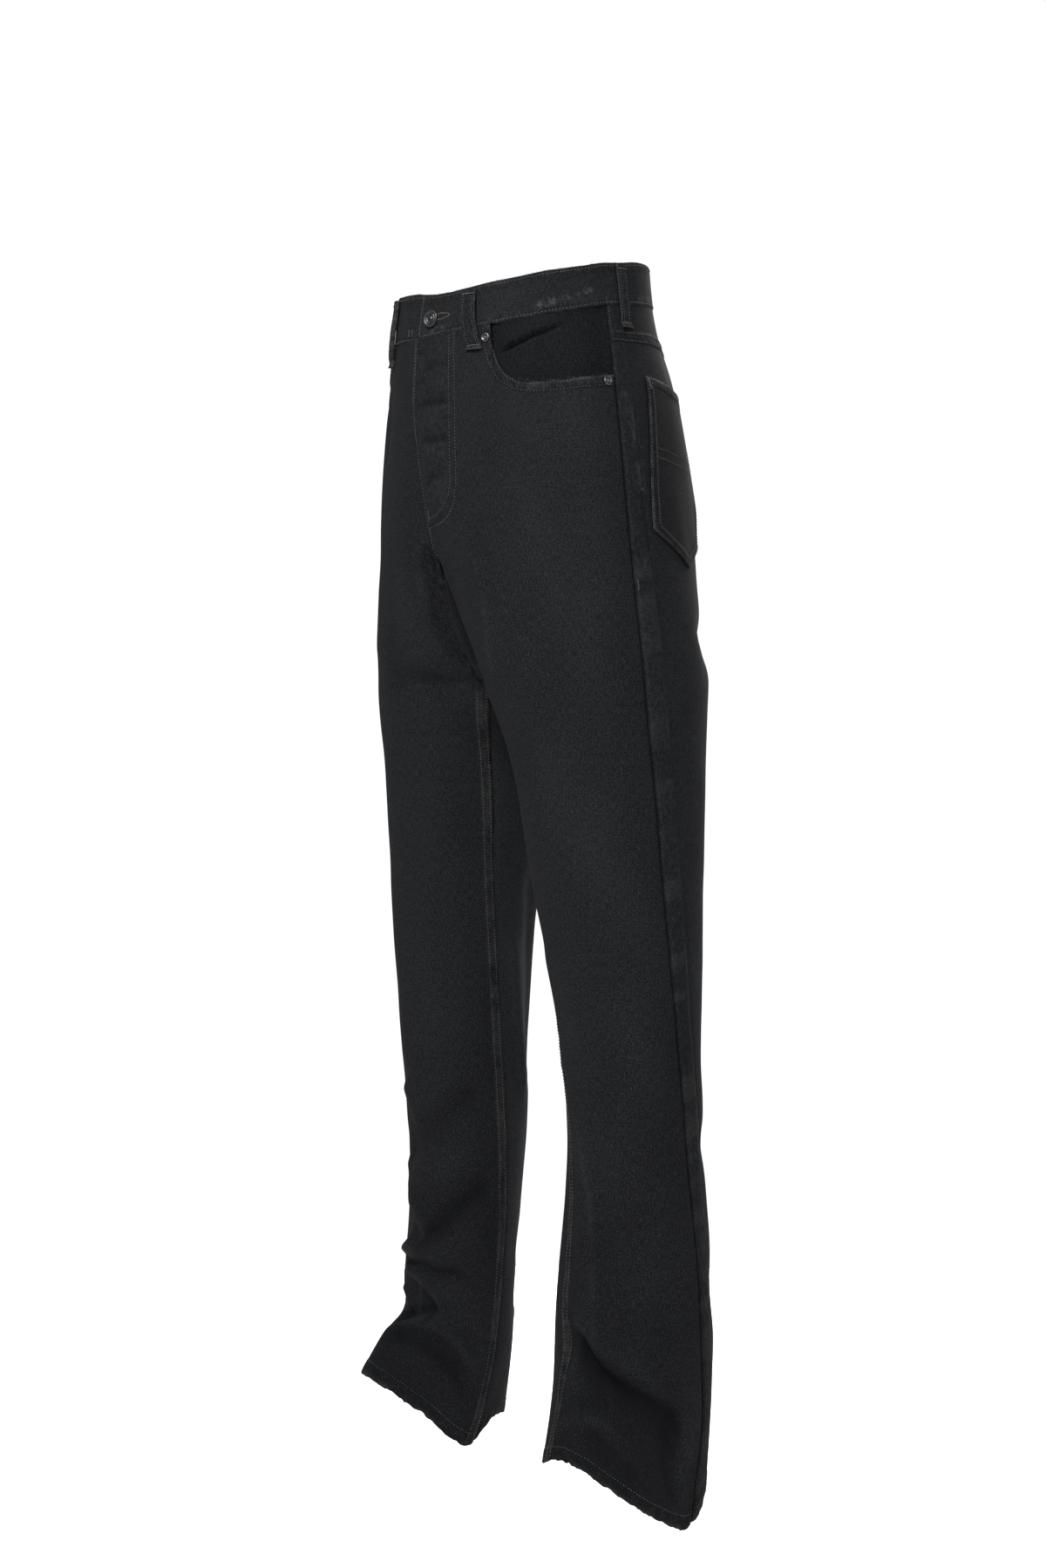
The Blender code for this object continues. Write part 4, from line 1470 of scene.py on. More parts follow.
@dataclass(frozen=True)
class Yoke(Panel):
    """Shaped piece between the waistband and the back panel."""

    rows: int = 25
    columns: int = 129

    def grid(self) -> tuple[Array, Array]:
        """s and level of the piece's points."""
        s = np.linspace(0.5, 1, self.columns)
        down = np.linspace(0, 1, self.rows)[:, None]
        level = PANEL_TOP + TUCK + (read(YOKE, s) - PANEL_TOP - TUCK)[None, :] * down
        return np.broadcast_to(s, level.shape), level

    def relief(self, s: Array, level: Array) -> Array:
        """Metres that seams and layers under the cloth lift it.

        Args:
            s: s of the places.
            level: their level.

        Returns:
            Metres for each place.
        """
        stride = read(STRIDE, level)
        side = (s - 0.5) * stride
        lift = 0.0006 * ease((0.024 - side) / 0.004) - 0.0008 * bell(side, 0.0012)
        seat = (1 - s) * stride
        return lift + 0.0008 * ease((0.0125 - seat) / 0.003) * (self.cut.side is Side.LEFT)

    def worn(self, s: Array, level: Array) -> Array:
        """How rubbed the cloth is, 0 to 1."""
        side = (s - 0.5) * read(STRIDE, level)
        return 0.10 * bell(side - 0.0026, 0.0009)

    def sewn(self, s: Array, level: Array) -> Array:
        """How much sewing puckers the cloth, 0 to 1.

        Args:
            s: s of the places.
            level: their level.

        Returns:
            A number for each place.
        """
        stride = read(STRIDE, level)
        side = 0.5 * ease((0.022 - (s - 0.5) * stride) / 0.004)
        return np.maximum(side, ease((0.0135 - (1 - s) * stride) / 0.003))


@dataclass(frozen=True)
class Facing(Panel):
    """Denim behind the front pocket's mouth, sagging in one fold."""

    rows: int = 61
    columns: int = 121
    wall: float = 0.0014
    inner_s: float = 0.185
    drop: float = 0.014
    sag: Line = (
        (0.206, -0.0850), (0.222, -0.0745), (0.258, -0.0650), (0.306, -0.0580), (0.356, -0.0535),
        (0.400, -0.0500),
    )

    def grid(self) -> tuple[Array, Array]:
        """s and level of the piece's points."""
        s = np.linspace(self.inner_s, 0.5, self.columns)
        foot = read(MOUTH, np.clip(s, MOUTH[2][0], 1)) - self.drop
        foot = np.where(s < MOUTH[3][0], read(((self.inner_s, -0.085), (MOUTH[3][0], -0.115)), s), foot)
        down = np.linspace(0, 1, self.rows)[:, None]
        level = PANEL_TOP + TUCK + (foot - PANEL_TOP - TUCK)[None, :] * down
        return np.broadcast_to(s, level.shape), level

    def relief(self, s: Array, level: Array) -> Array:
        """Metres out from the panel's face: behind it, and fuller inside the mouth.

        Args:
            s: s of the places.
            level: their level.

        Returns:
            Metres for each place.
        """
        far, hand, _ = from_line(MOUTH, s, level, SEWN_PACE)
        inside = ease((far * np.where(hand > 0, 1, -1) - 0.003) / 0.016)
        fold, above, run = from_line(self.sag, s, level, SEWN_PACE)
        step = np.where(above > 0, bell(fold, 0.016), -0.7 * bell(fold, 0.0045))
        sag = 0.0042 * step * ease((1 - run) * 2.5 + 0.1)
        back = -DENIM - LAY + inside * (0.0008 + sag + 0.0006 * soft_noise(s * 16, level * 30, 61))
        forward = inside * np.maximum(ease((level - PANEL_TOP + 0.007) / 0.007), ease((s - 0.474) / 0.022))
        return back * (1 - forward) - 0.0005 * forward


@dataclass(frozen=True)
class Placket(Panel):
    """Strip behind the left front that the fly buttons onto, rounded at its foot."""

    rows: int = 61
    columns: int = 25
    wall: float = 0.0012
    width: float = 0.046
    foot: float = -0.246

    def grid(self) -> tuple[Array, Array]:
        """s and level of the piece's points."""
        level = np.linspace(PANEL_TOP, self.foot, self.rows)[:, None]
        down = (level - PANEL_TOP) / (self.foot - PANEL_TOP)
        reach = self.width / WAIST_PACE * np.sqrt(1 - 0.93 * np.clip((down - 0.70) / 0.30, 0, 1) ** 2)
        s = reach * np.linspace(0, 1, self.columns)[None, :]
        return s, np.broadcast_to(level, s.shape)

    def relief(self, s: Array, level: Array) -> Array:
        """Metres out from the panel's face: a layer behind it."""
        return np.full_like(level, -DENIM - LAY)


@dataclass(frozen=True)
class BackPocket(Panel):
    """Five-sided patch pocket with a turned top edge and sides."""

    rows: int = 101
    columns: int = 85
    wall: float = 0.0015
    top: Line = ((0.588, -0.1080), (0.865, -0.1270))
    foot: Line = ((0.552, -0.2540), (0.650, -0.2870), (0.748, -0.2620))
    side_rows: Size = (0.0017, 0.0080)
    hem_rows: Size = (0.0020, 0.0105)
    level_rows: Size = (0.44, 0.50)

    def place(self, across: Array, down: Array) -> tuple[Array, Array]:
        """s and level at shares of the pocket's width and height.

        Args:
            across: shares of the width.
            down: shares of the height.

        Returns:
            s and level.
        """
        across, down = np.broadcast_arrays(np.asarray(across, float), np.asarray(down, float))
        top, foot = np.array(self.top), np.array(self.foot)
        top_s = top[0, 0] + (top[1, 0] - top[0, 0]) * across
        top_z = top[0, 1] + (top[1, 1] - top[0, 1]) * across
        foot_s = np.interp(across, (0, 0.5, 1), foot[:, 0])
        foot_z = np.interp(across, (0, 0.5, 1), foot[:, 1])
        return top_s + (foot_s - top_s) * down, top_z + (foot_z - top_z) * down

    def grid(self) -> tuple[Array, Array]:
        """s and level of the piece's points."""
        return self.place(np.linspace(0, 1, self.columns)[None, :], np.linspace(0, 1, self.rows)[:, None])

    def inset(self, depth: float) -> Line:
        """The sides and point, drawn in by a distance, from the top left down and up to the top right.

        Args:
            depth: metres to draw in.

        Returns:
            The line's points.
        """
        corners = np.array([self.top[0], *self.foot, self.top[1]]) * (SEWN_PACE, 1)
        steps = np.diff(corners, axis=0)
        turned = unit(np.stack([-steps[:, 1], steps[:, 0]], axis=1))
        moved = [corners[0] + turned[0] * depth]
        for k in range(1, 4):
            middle = turned[k - 1] + turned[k]
            moved.append(corners[k] + middle * depth * 2 / (middle @ middle))
        moved.append(corners[4] + turned[3] * depth)
        return tuple((float(x / SEWN_PACE), float(z)) for x, z in moved)

    def off_edge(self, s: Array, level: Array) -> Array:
        """Distance in metres from the pocket's outline."""
        return off_line((*self.inset(0.0), self.top[0]), s, level)

    def relief(self, s: Array, level: Array) -> Array:
        """Metres out from the panel's face: a layer on it, its turned edges thicker.

        Args:
            s: s of the places.
            level: their level.

        Returns:
            Metres for each place.
        """
        far = self.off_edge(s, level)
        lift = LAY + self.wall + 0.0006 * ease((0.0095 - far) / 0.002)
        lift = lift + 0.0006 * soft_noise(s * 18, level * 26, 71)
        return lift - 0.0011 * bell(far, 0.0011)

    def worn(self, s: Array, level: Array) -> Array:
        """How rubbed the cloth is, 0 to 1.

        Args:
            s: s of the places.
            level: their level.

        Returns:
            A number for each place.
        """
        far = self.off_edge(s, level)
        mouth = off_line(self.top, s, level)
        patchy = flecks(s * 50, level / 0.010, 73)
        return (0.40 * bell(far, 0.0022) + 0.55 * bell(mouth, 0.0040)) * patchy

    def tone_and_painted_light(self, s: Array, level: Array) -> Array:
        """Tone with painted light and shade: a step darker than the panel under it."""
        return super().tone_and_painted_light(s, level) - 0.85

    def sewn(self, s: Array, level: Array) -> Array:
        """How much sewing puckers the cloth, 0 to 1."""
        far = self.off_edge(s, level)
        return 0.9 * ease((0.0110 - far) / 0.003)


@dataclass(frozen=True)
class Waistband:
    """Band that goes once round the waist, its under end lapped behind the over end."""

    thickness: float = 0.0030
    lap: float = 0.0450
    edge_round: float = 0.0014
    stations: int = 700
    end_stations: int = 60
    rows_at: Size = (-0.0036, -0.0384)
    side_streak: Line = ((0.325, -0.0315), (0.365, -0.0300), (0.405, -0.0280), (0.455, -0.0262))
    front_streak: Line = ((0.026, -0.0340), (0.060, -0.0352), (0.096, -0.0330))

    def under(self, turn: Array) -> Array:
        """How far the band is out from the cloth: it steps back at the under end."""
        return BAND_STANDS - ease((turn - 1.92) / 0.075) * (self.thickness + LAYER_GAP + 0.0001)

    def face(self, turn: Array, level: Array, out: Array = 0.0) -> Array:
        """A point on the band's outer face, or off it.

        Args:
            turn: place round the waist.
            level: level of the points.
            out: metres out from the face.

        Returns:
            Points.
        """
        turn, level = np.broadcast_arrays(np.asarray(turn, float), np.asarray(level, float))
        middle = np.sin(np.pi * np.clip(level / -BAND_DEPTH, 0, 1))
        puff = 0.0003 * middle + 0.0004 * soft_noise(turn * 14, level * 40, 81)
        puff = puff + 0.0003 * soft_noise(turn * 40, level * 60, 83)
        wave = 0.0007 * soft_noise(turn * 11, 0.5, 85) * (1 - level / -BAND_DEPTH)
        return around(turn, level + wave + band_rise(turn, level), self.under(turn) + puff + out)

    def section(self) -> tuple[Array, Array]:
        """Level and distance out of the points round the band's cross section."""
        r, t = self.edge_round, self.thickness
        bend = np.linspace(0, np.pi, 7)[1:-1]
        outer = np.linspace(-0.0003 - r, -BAND_DEPTH + r, 19)
        inner = np.linspace(-BAND_DEPTH + r, -0.0003 - r, 9)
        foot, head = -BAND_DEPTH + r - r * np.sin(bend), -0.0003 - r + r * np.sin(bend)
        level = np.concatenate([outer, foot, inner, head])
        out = np.concatenate([
            np.zeros(19), -t / 2 + t / 2 * np.cos(bend), np.full(9, -t), -t / 2 - t / 2 * np.cos(bend),
        ])
        return level, out

    def build(self, finish: Finish) -> Piece:
        """Makes the band in place of its node.

        Args:
            finish: its material.

        Returns:
            The object.
        """
        turns = np.concatenate([
            np.linspace(0.004, 1.90, self.stations - self.end_stations),
            np.linspace(1.901, 2 + self.lap / WAIST_PACE, self.end_stations),
        ])[:, None]
        level, out = self.section()
        points = self.face(turns, level[None, :], out[None, :])
        piece = mesh_piece(BAND_PIECE, *closed_tube(points), finish)
        turn, level = np.broadcast_arrays(turns, level[None, :])
        outside = (out[None, :] > -self.thickness * 0.6) * np.ones_like(turn)
        uv = np.stack([turn * WAIST_PACE, level], axis=-1)
        paint_tube(piece, uv, self.worn(turn, level) * outside, self.sewn(turn, level) * outside)
        return carry(piece, Slot.DENIM, "waistband")

    def worn(self, turn: Array, level: Array) -> Array:
        """How rubbed the cloth is, 0 to 1.

        Args:
            turn: places round the waist.
            level: their level.

        Returns:
            A number for each place.
        """
        patchy = flecks(turn * 70, level / 0.008, 87, 0.4)
        rub = 0.35 * bell(level, 0.0016) * patchy
        rub = rub + 0.22 * bell(level + BAND_DEPTH, 0.0022) * patchy
        streak = off_line(self.side_streak, turn, level, WAIST_PACE)
        rub = rub + 0.95 * bell(streak, 0.0028) * flecks(turn * 190, level / 0.003, 89, 0.1, 1.0)
        under = off_line(self.front_streak, turn, level, WAIST_PACE)
        rub = rub + 0.60 * bell(under, 0.0022) * flecks(turn * 200, level / 0.003, 91, 0.1, 1.0)
        return np.clip(rub + 0.55 * bell(turn - 0.0045, 0.0035), 0, 1)

    def sewn(self, turn: Array, level: Array) -> Array:
        """How much sewing puckers the cloth, 0 to 1."""
        near = np.minimum(np.abs(level - self.rows_at[0]), np.abs(level - self.rows_at[1]))
        return 0.8 * ease((0.0075 - near) / 0.005)


@dataclass(frozen=True)
class BeltLoop:
    """Strap that stands off the waistband and comes down onto the yoke or the front."""

    turn: float
    lean: float = 0.0
    arch: float = 0.0014
    foot: float = -0.0630
    width: float = 0.0130
    cloth: float = 0.0020
    top: float = -0.0036
    stations: int = 61
    row_at: float = 0.0031
    pucker: float = 0.7
    turned_under: float = 0.006

    def face(self, across: Array, down: Array, out: Array = 0.0) -> Array:
        """A point on the strap's outer face.

        Args:
            across: -0.5 to 0.5 over its width.
            down: 0 to 1 along it.
            out: metres out from the face.

        Returns:
            Points.
        """
        across, down = np.broadcast_arrays(np.asarray(across, float), np.asarray(down, float))
        level = self.top + (self.foot - self.top) * down
        arch = self.arch * np.sin(np.pi * np.clip(down / 0.86, 0, 1)) ** 0.7
        stand = BAND_STANDS + LAYER_GAP + arch - BAND_STANDS * ease((down - 0.80) / 0.12)
        stand = stand - 0.0006 * bell(down - 0.925, 0.02) + 0.0005 * ease((down - 0.95) / 0.04)
        flat = self.turn + self.lean * (down - 0.5) / ROW_PACE
        level = level + band_rise(flat, level)
        middle = around(flat, level)
        n = around(flat, level, 1.0) - middle
        n[..., 2] = 0
        n = unit(n)
        along = np.cross(n, (0, 0, 1.0))
        seed = int(abs(self.turn) * 100) + (self.turn < 0)
        drift = 0.0004 * soft_noise(down * 6, 0.5, 101 + seed)
        uneven = 0.05 * soft_noise(down * 9, 2.5, 103 + seed)
        wide = self.width * (1 + uneven + 0.10 * ease((down - 0.94) / 0.05))
        crown = 0.0003 * np.cos(np.pi * across * 4) - 0.0008 * across**2 * 4
        lift = stand + 0.0006 + self.cloth + crown + out
        lift = lift + 0.0002 * soft_noise(down * 14, across * 3, 105 + seed)
        return middle + (across * wide + drift)[..., None] * along + n * lift[..., None]

    def build(self, name: str, node: str, finish: Finish) -> Piece:
        """Makes the strap in place of its node.

        Args:
            name: the piece's name.
            node: the frame node that it replaces.
            finish: its material.

        Returns:
            The object.
        """
        over = np.linspace(-0.46, 0.46, 13)
        edge = np.array([0.49, 0.5, 0.49])
        across = np.concatenate([over, edge, over[::-1], -edge])
        side = np.array([-0.25, -0.5, -0.75]) * self.cloth
        out = np.concatenate([np.zeros(13), side, np.full(13, -self.cloth), side[::-1]])
        down = np.linspace(0, 1, self.stations)[:, None]
        points = self.face(across[None, :], down, out[None, :])
        piece = mesh_piece(name, *closed_tube(points), finish)
        across, down = np.broadcast_arrays(across[None, :], down)
        uv = np.stack([across * self.width + self.turn, down * (self.foot - self.top)], axis=-1)
        # The strap is paler along its edges and over its folded foot end.
        rub = 0.30 * bell(np.abs(across) - 0.49, 0.05) + 0.35 * ease((down - 0.95) / 0.03)
        paint_tube(piece, uv, rub, np.full_like(across, self.pucker))
        return carry(piece, Slot.DENIM, node)


def run_of(face: Face, line: Line, lift: float, samples: int = 600) -> tuple[Array, Array]:
    """Points and normals along a line drawn on a piece's face.

    Args:
        face: the piece's face method.
        line: two coordinates of the face, for each point of the line.
        lift: metres above the face.
        samples: how many points.

    Returns:
        The points, and the face's unit normals at them.
    """
    spots = np.array(line)
    spans = np.concatenate([[0], np.cumsum(np.linalg.norm(np.diff(spots * (ROW_PACE, 1), axis=0), axis=1))])
    at = np.linspace(0, spans[-1], samples)
    u, v = np.interp(at, spans, spots[:, 0]), np.interp(at, spans, spots[:, 1])
    points = face(u, v, np.full(samples, lift))
    return points, unit(face(u, v, np.full(samples, lift + 0.001)) - points)


@dataclass(frozen=True)
class Stitching:
    """Rows of topstitching: each stitch a short length of thread that dips into the cloth at its ends."""

    pitch: float = 0.0031
    filled: float = 0.60
    thread: float = 0.00039
    sink: float = 0.00030

    def stitches(self, points: Array, normals: Array, seed: int) -> tuple[Array, Array, Array]:
        """Start, end and normal of each stitch along a row.

        Args:
            points: the row.
            normals: the cloth's normals along it.
            seed: for the small unevenness of hand-guided sewing.

        Returns:
            Three arrays, one row to a stitch.
        """
        spans = np.concatenate([[0], np.cumsum(np.linalg.norm(np.diff(points, axis=0), axis=1))])
        count = max(int(spans[-1] / self.pitch), 1)
        rng = np.random.default_rng(seed)
        start = np.arange(count) * spans[-1] / count + rng.uniform(-0.1, 0.1, count) * self.pitch
        end = start + self.pitch * self.filled * rng.uniform(0.92, 1.06, count)

        def at(where: Array, of: Array) -> Array:
            """Reads the row's points or normals at lengths along it."""
            return np.stack([np.interp(where, spans, of[:, k]) for k in range(3)], axis=1)

        return at(start, points), at(end, points), at((start + end) / 2, normals)

    def mesh(self, start: Array, end: Array, up: Array) -> tuple[Array, list]:
        """Points and faces of the stitches.

        Args:
            start: where each stitch goes in.
            end: where it comes out.
            up: the cloth's normal at each.

        Returns:
            Points, and tuples of point numbers.
        """
        along = end - start
        side = unit(np.cross(along, up)) * self.thread
        high = up * self.thread
        tips = [start - up * self.sink, end - up * self.sink]
        rings = []
        for share in (0.2, 0.8):
            middle = start + along * share
            rings += [middle + side, middle + high, middle - side, middle - high]
        points = np.stack([tips[0], *rings, tips[1]], axis=1)
        faces = []
        for k in range(4):
            n = (k + 1) % 4
            faces += [(0, 1 + k, 1 + n), (1 + k, 5 + k, 5 + n, 1 + n), (9, 5 + n, 5 + k)]
        made = [tuple(v + 10 * i for v in face) for i in range(len(points)) for face in faces]
        return points.reshape(-1, 3), made

    def build(self, name: str, runs: Runs, finish: Finish, tacks: Runs = ()) -> None:
        """Sews rows and bar tacks as one piece.

        Args:
            name: the piece's name.
            runs: points and normals of each row.
            finish: the thread's material.
            tacks: stitches laid side by side: start, end and normal arrays.
        """
        parts = [self.stitches(points, normals, 200 + k) for k, (points, normals) in enumerate(runs)]
        parts += list(tacks)
        start, end, up = (np.concatenate([part[k] for part in parts]) for k in range(3))
        carry(mesh_piece(name, *self.mesh(start, end, up), finish), Slot.DENIM)


def bar_tack(face: Face, first: Size, last: Size, width: float,
             gap: float = 0.00052, lift: float = 0.00012) -> tuple[Array, Array, Array]:
    """Close stitches laid across a short line.

    Args:
        face: the face method of what it is sewn on.
        first: the line's start, in the face's coordinates.
        last: its end.
        width: length of each stitch across the line, in metres.
        gap: metres from one stitch to the next.
        lift: metres above the face.

    Returns:
        Start, end and normal of each stitch.
    """
    points, normals = run_of(face, (first, last), lift, 40)
    length = np.linalg.norm(np.diff(points, axis=0), axis=1).sum()
    count = max(int(length / gap), 3)
    pick = np.linspace(0, 39, count).round().astype(int)
    along = points[-1] - points[0]
    side = unit(np.cross(normals[pick], along)) * width / 2
    slant = unit(along) * 0.0002
    return points[pick] - side - slant, points[pick] + side + slant, normals[pick]


def offset(line: Line, depth: float, pace: float = SEWN_PACE) -> Line:
    """A line drawn beside another on the cloth.

    Args:
        line: (s, level) points.
        depth: metres to the right hand of the line's run.
        pace: metres for one unit of s.

    Returns:
        The new line's points.
    """
    spots = np.array(line) * (pace, 1)
    steps = np.gradient(spots, axis=0)
    moved = spots + unit(np.stack([steps[:, 1], -steps[:, 0]], axis=1)) * depth
    return tuple((float(x / pace), float(z)) for x, z in moved)


@dataclass(frozen=True)
class Fibres:
    """Short loose yarns that stand on worn places and hang from the hems."""

    radius: float = 0.00016
    aside: tuple[float, float, float] = (0.31, 0.52, 0.79)
    corners: tuple[float, float, float] = (0.0, 2.094, 4.189)

    def mesh(self, paths: list[Array]) -> tuple[Array, list]:
        """Three-sided tubes along paths.

        Args:
            paths: points of each yarn.

        Returns:
            Points, and tuples of point numbers.
        """
        points, faces, start = [], [], 0
        for path in paths:
            along = unit(np.gradient(path, axis=0))
            side = unit(np.cross(along, self.aside))
            other = np.cross(along, side)
            thin = np.linspace(1, 0.55, len(path))[:, None] * self.radius
            ring = [path + (side * np.cos(a) + other * np.sin(a)) * thin for a in self.corners]
            points.append(np.stack(ring, axis=1).reshape(-1, 3))
            faces += grid_faces(len(path), 3, start, ring=True)
            last = start + 3 * (len(path) - 1)
            faces += [(start, start + 1, start + 2), (last + 2, last + 1, last)]
            start += 3 * len(path)
        return np.concatenate(points), faces

    def build(self, name: str, paths: list[Array], finish: Finish) -> None:
        """Makes yarns as one piece."""
        carry(mesh_piece(name, *self.mesh(paths), finish), Slot.DENIM)


def loose_yarn(root: Array, run: Array, length: float, curl: float, rng: np.random.Generator,
               bits: int = 4) -> Array:
    """Path of one loose yarn.

    Args:
        root: where it leaves the cloth.
        run: the way it sets off.
        length: metres along it.
        curl: how much it wanders, 0 to 1.
        rng: the source of its chance.
        bits: points on it.

    Returns:
        Points.
    """
    step = unit(run)
    path = [root]
    for _ in range(bits - 1):
        step = unit(step + rng.normal(0, curl, 3))
        path.append(path[-1] + step * length / (bits - 1))
    return np.array(path)


def turned_piece(name: str, profile: Line, centre: Array, axis: Array, finish: Finish,
                 segments: int = 48) -> Piece:
    """A closed turned piece.

    Args:
        name: the piece's name.
        profile: radius and height of each ring, from the foot up; both ends are flat.
        centre: foot of the axis.
        axis: its direction.
        finish: its material.
        segments: points round it.

    Returns:
        The object.
    """
    turn = np.array(Vector((0, 0, 1)).rotation_difference(Vector(axis)).to_matrix())
    angles = np.linspace(0, 2 * np.pi, segments, endpoint=False)
    rings = [
        np.stack([radius * np.cos(angles), radius * np.sin(angles), np.full(segments, height)], axis=1)
        for radius, height in profile
    ]
    return mesh_piece(name, *closed_tube(np.stack(rings) @ turn.T + centre), finish)


@dataclass(frozen=True)
class Hardware:
    """The shank button on the waistband and the rivets at the front pockets' corners."""

    button_s: float = 0.0500
    button_level: float = -0.0225
    button_radius: float = 0.0083
    button_tilt: tuple[float, float, float] = (0.22, 0.0, -0.04)
    rivet_places: Line = ((0.200, -0.0540), (0.4790, -0.1140))
    rivet_radius: float = 0.0046

    def button_profile(self) -> Line:
        """A shank, a dished face with a raised rim, a ring and a small centre boss."""
        r = self.button_radius
        return (
            (0.0034, 0), (0.0034, 0.0018), (r - 0.0010, 0.0018), (r - 0.0003, 0.0021), (r, 0.0027),
            (r - 0.0001, 0.0034), (r - 0.0006, 0.0039), (r - 0.0012, 0.0040), (r - 0.0017, 0.0037),
            (r - 0.0020, 0.0032), (0.0056, 0.0030), (0.0050, 0.0031), (0.0047, 0.0034), (0.0043, 0.0034),
            (0.0040, 0.0031), (0.0030, 0.0030), (0.0020, 0.0031), (0.0015, 0.0035), (0.0008, 0.0038),
        )

    def rivet_profile(self) -> Line:
        """A flat collar with a rolled edge, a hollow, and the pin's round end in it."""
        r = self.rivet_radius
        return (
            (r - 0.0002, 0), (r, 0.0003), (r - 0.0001, 0.0008), (r - 0.0006, 0.0012), (r - 0.0014, 0.0013),
            (0.0024, 0.0010), (0.0019, 0.0006), (0.0016, 0.0006), (0.0013, 0.0010), (0.0009, 0.0016),
            (0.0004, 0.0019),
        )

    def build(self, cuts: tuple[LegCut, ...], finishes: Finishes) -> None:
        """Makes the button and the rivets in place of their nodes.

        Args:
            cuts: both halves.
            finishes: the garment's materials.
        """
        for cut in cuts:
            for k, (s, level) in enumerate(self.rivet_places):
                where = np.array([s]), np.array([level])
                n = cut.normals(*where, cut.folded)[0]
                base = cut.folded(*where)[0] + n * (LAYER_GAP + 0.0005)
                name = f"rivet_{cut.side.word}_{k + 1}"
                piece = turned_piece("aged_" + name, self.rivet_profile(), base, n, finishes.rivet)
                carry(piece, Slot.RIVET, name)
        where = np.array([self.button_s]), np.array([self.button_level])
        n = LEFT_CUT.normals(*where, LEFT_CUT.folded)[0]
        base = LEFT_CUT.folded(*where)[0] + n * (BAND_STANDS + LAYER_GAP)
        axis = unit(n + np.array(self.button_tilt))
        piece = turned_piece("aged_shank_button", self.button_profile(), base, axis, finishes.button, 72)
        carry(piece, Slot.BUTTON, "shank_button")


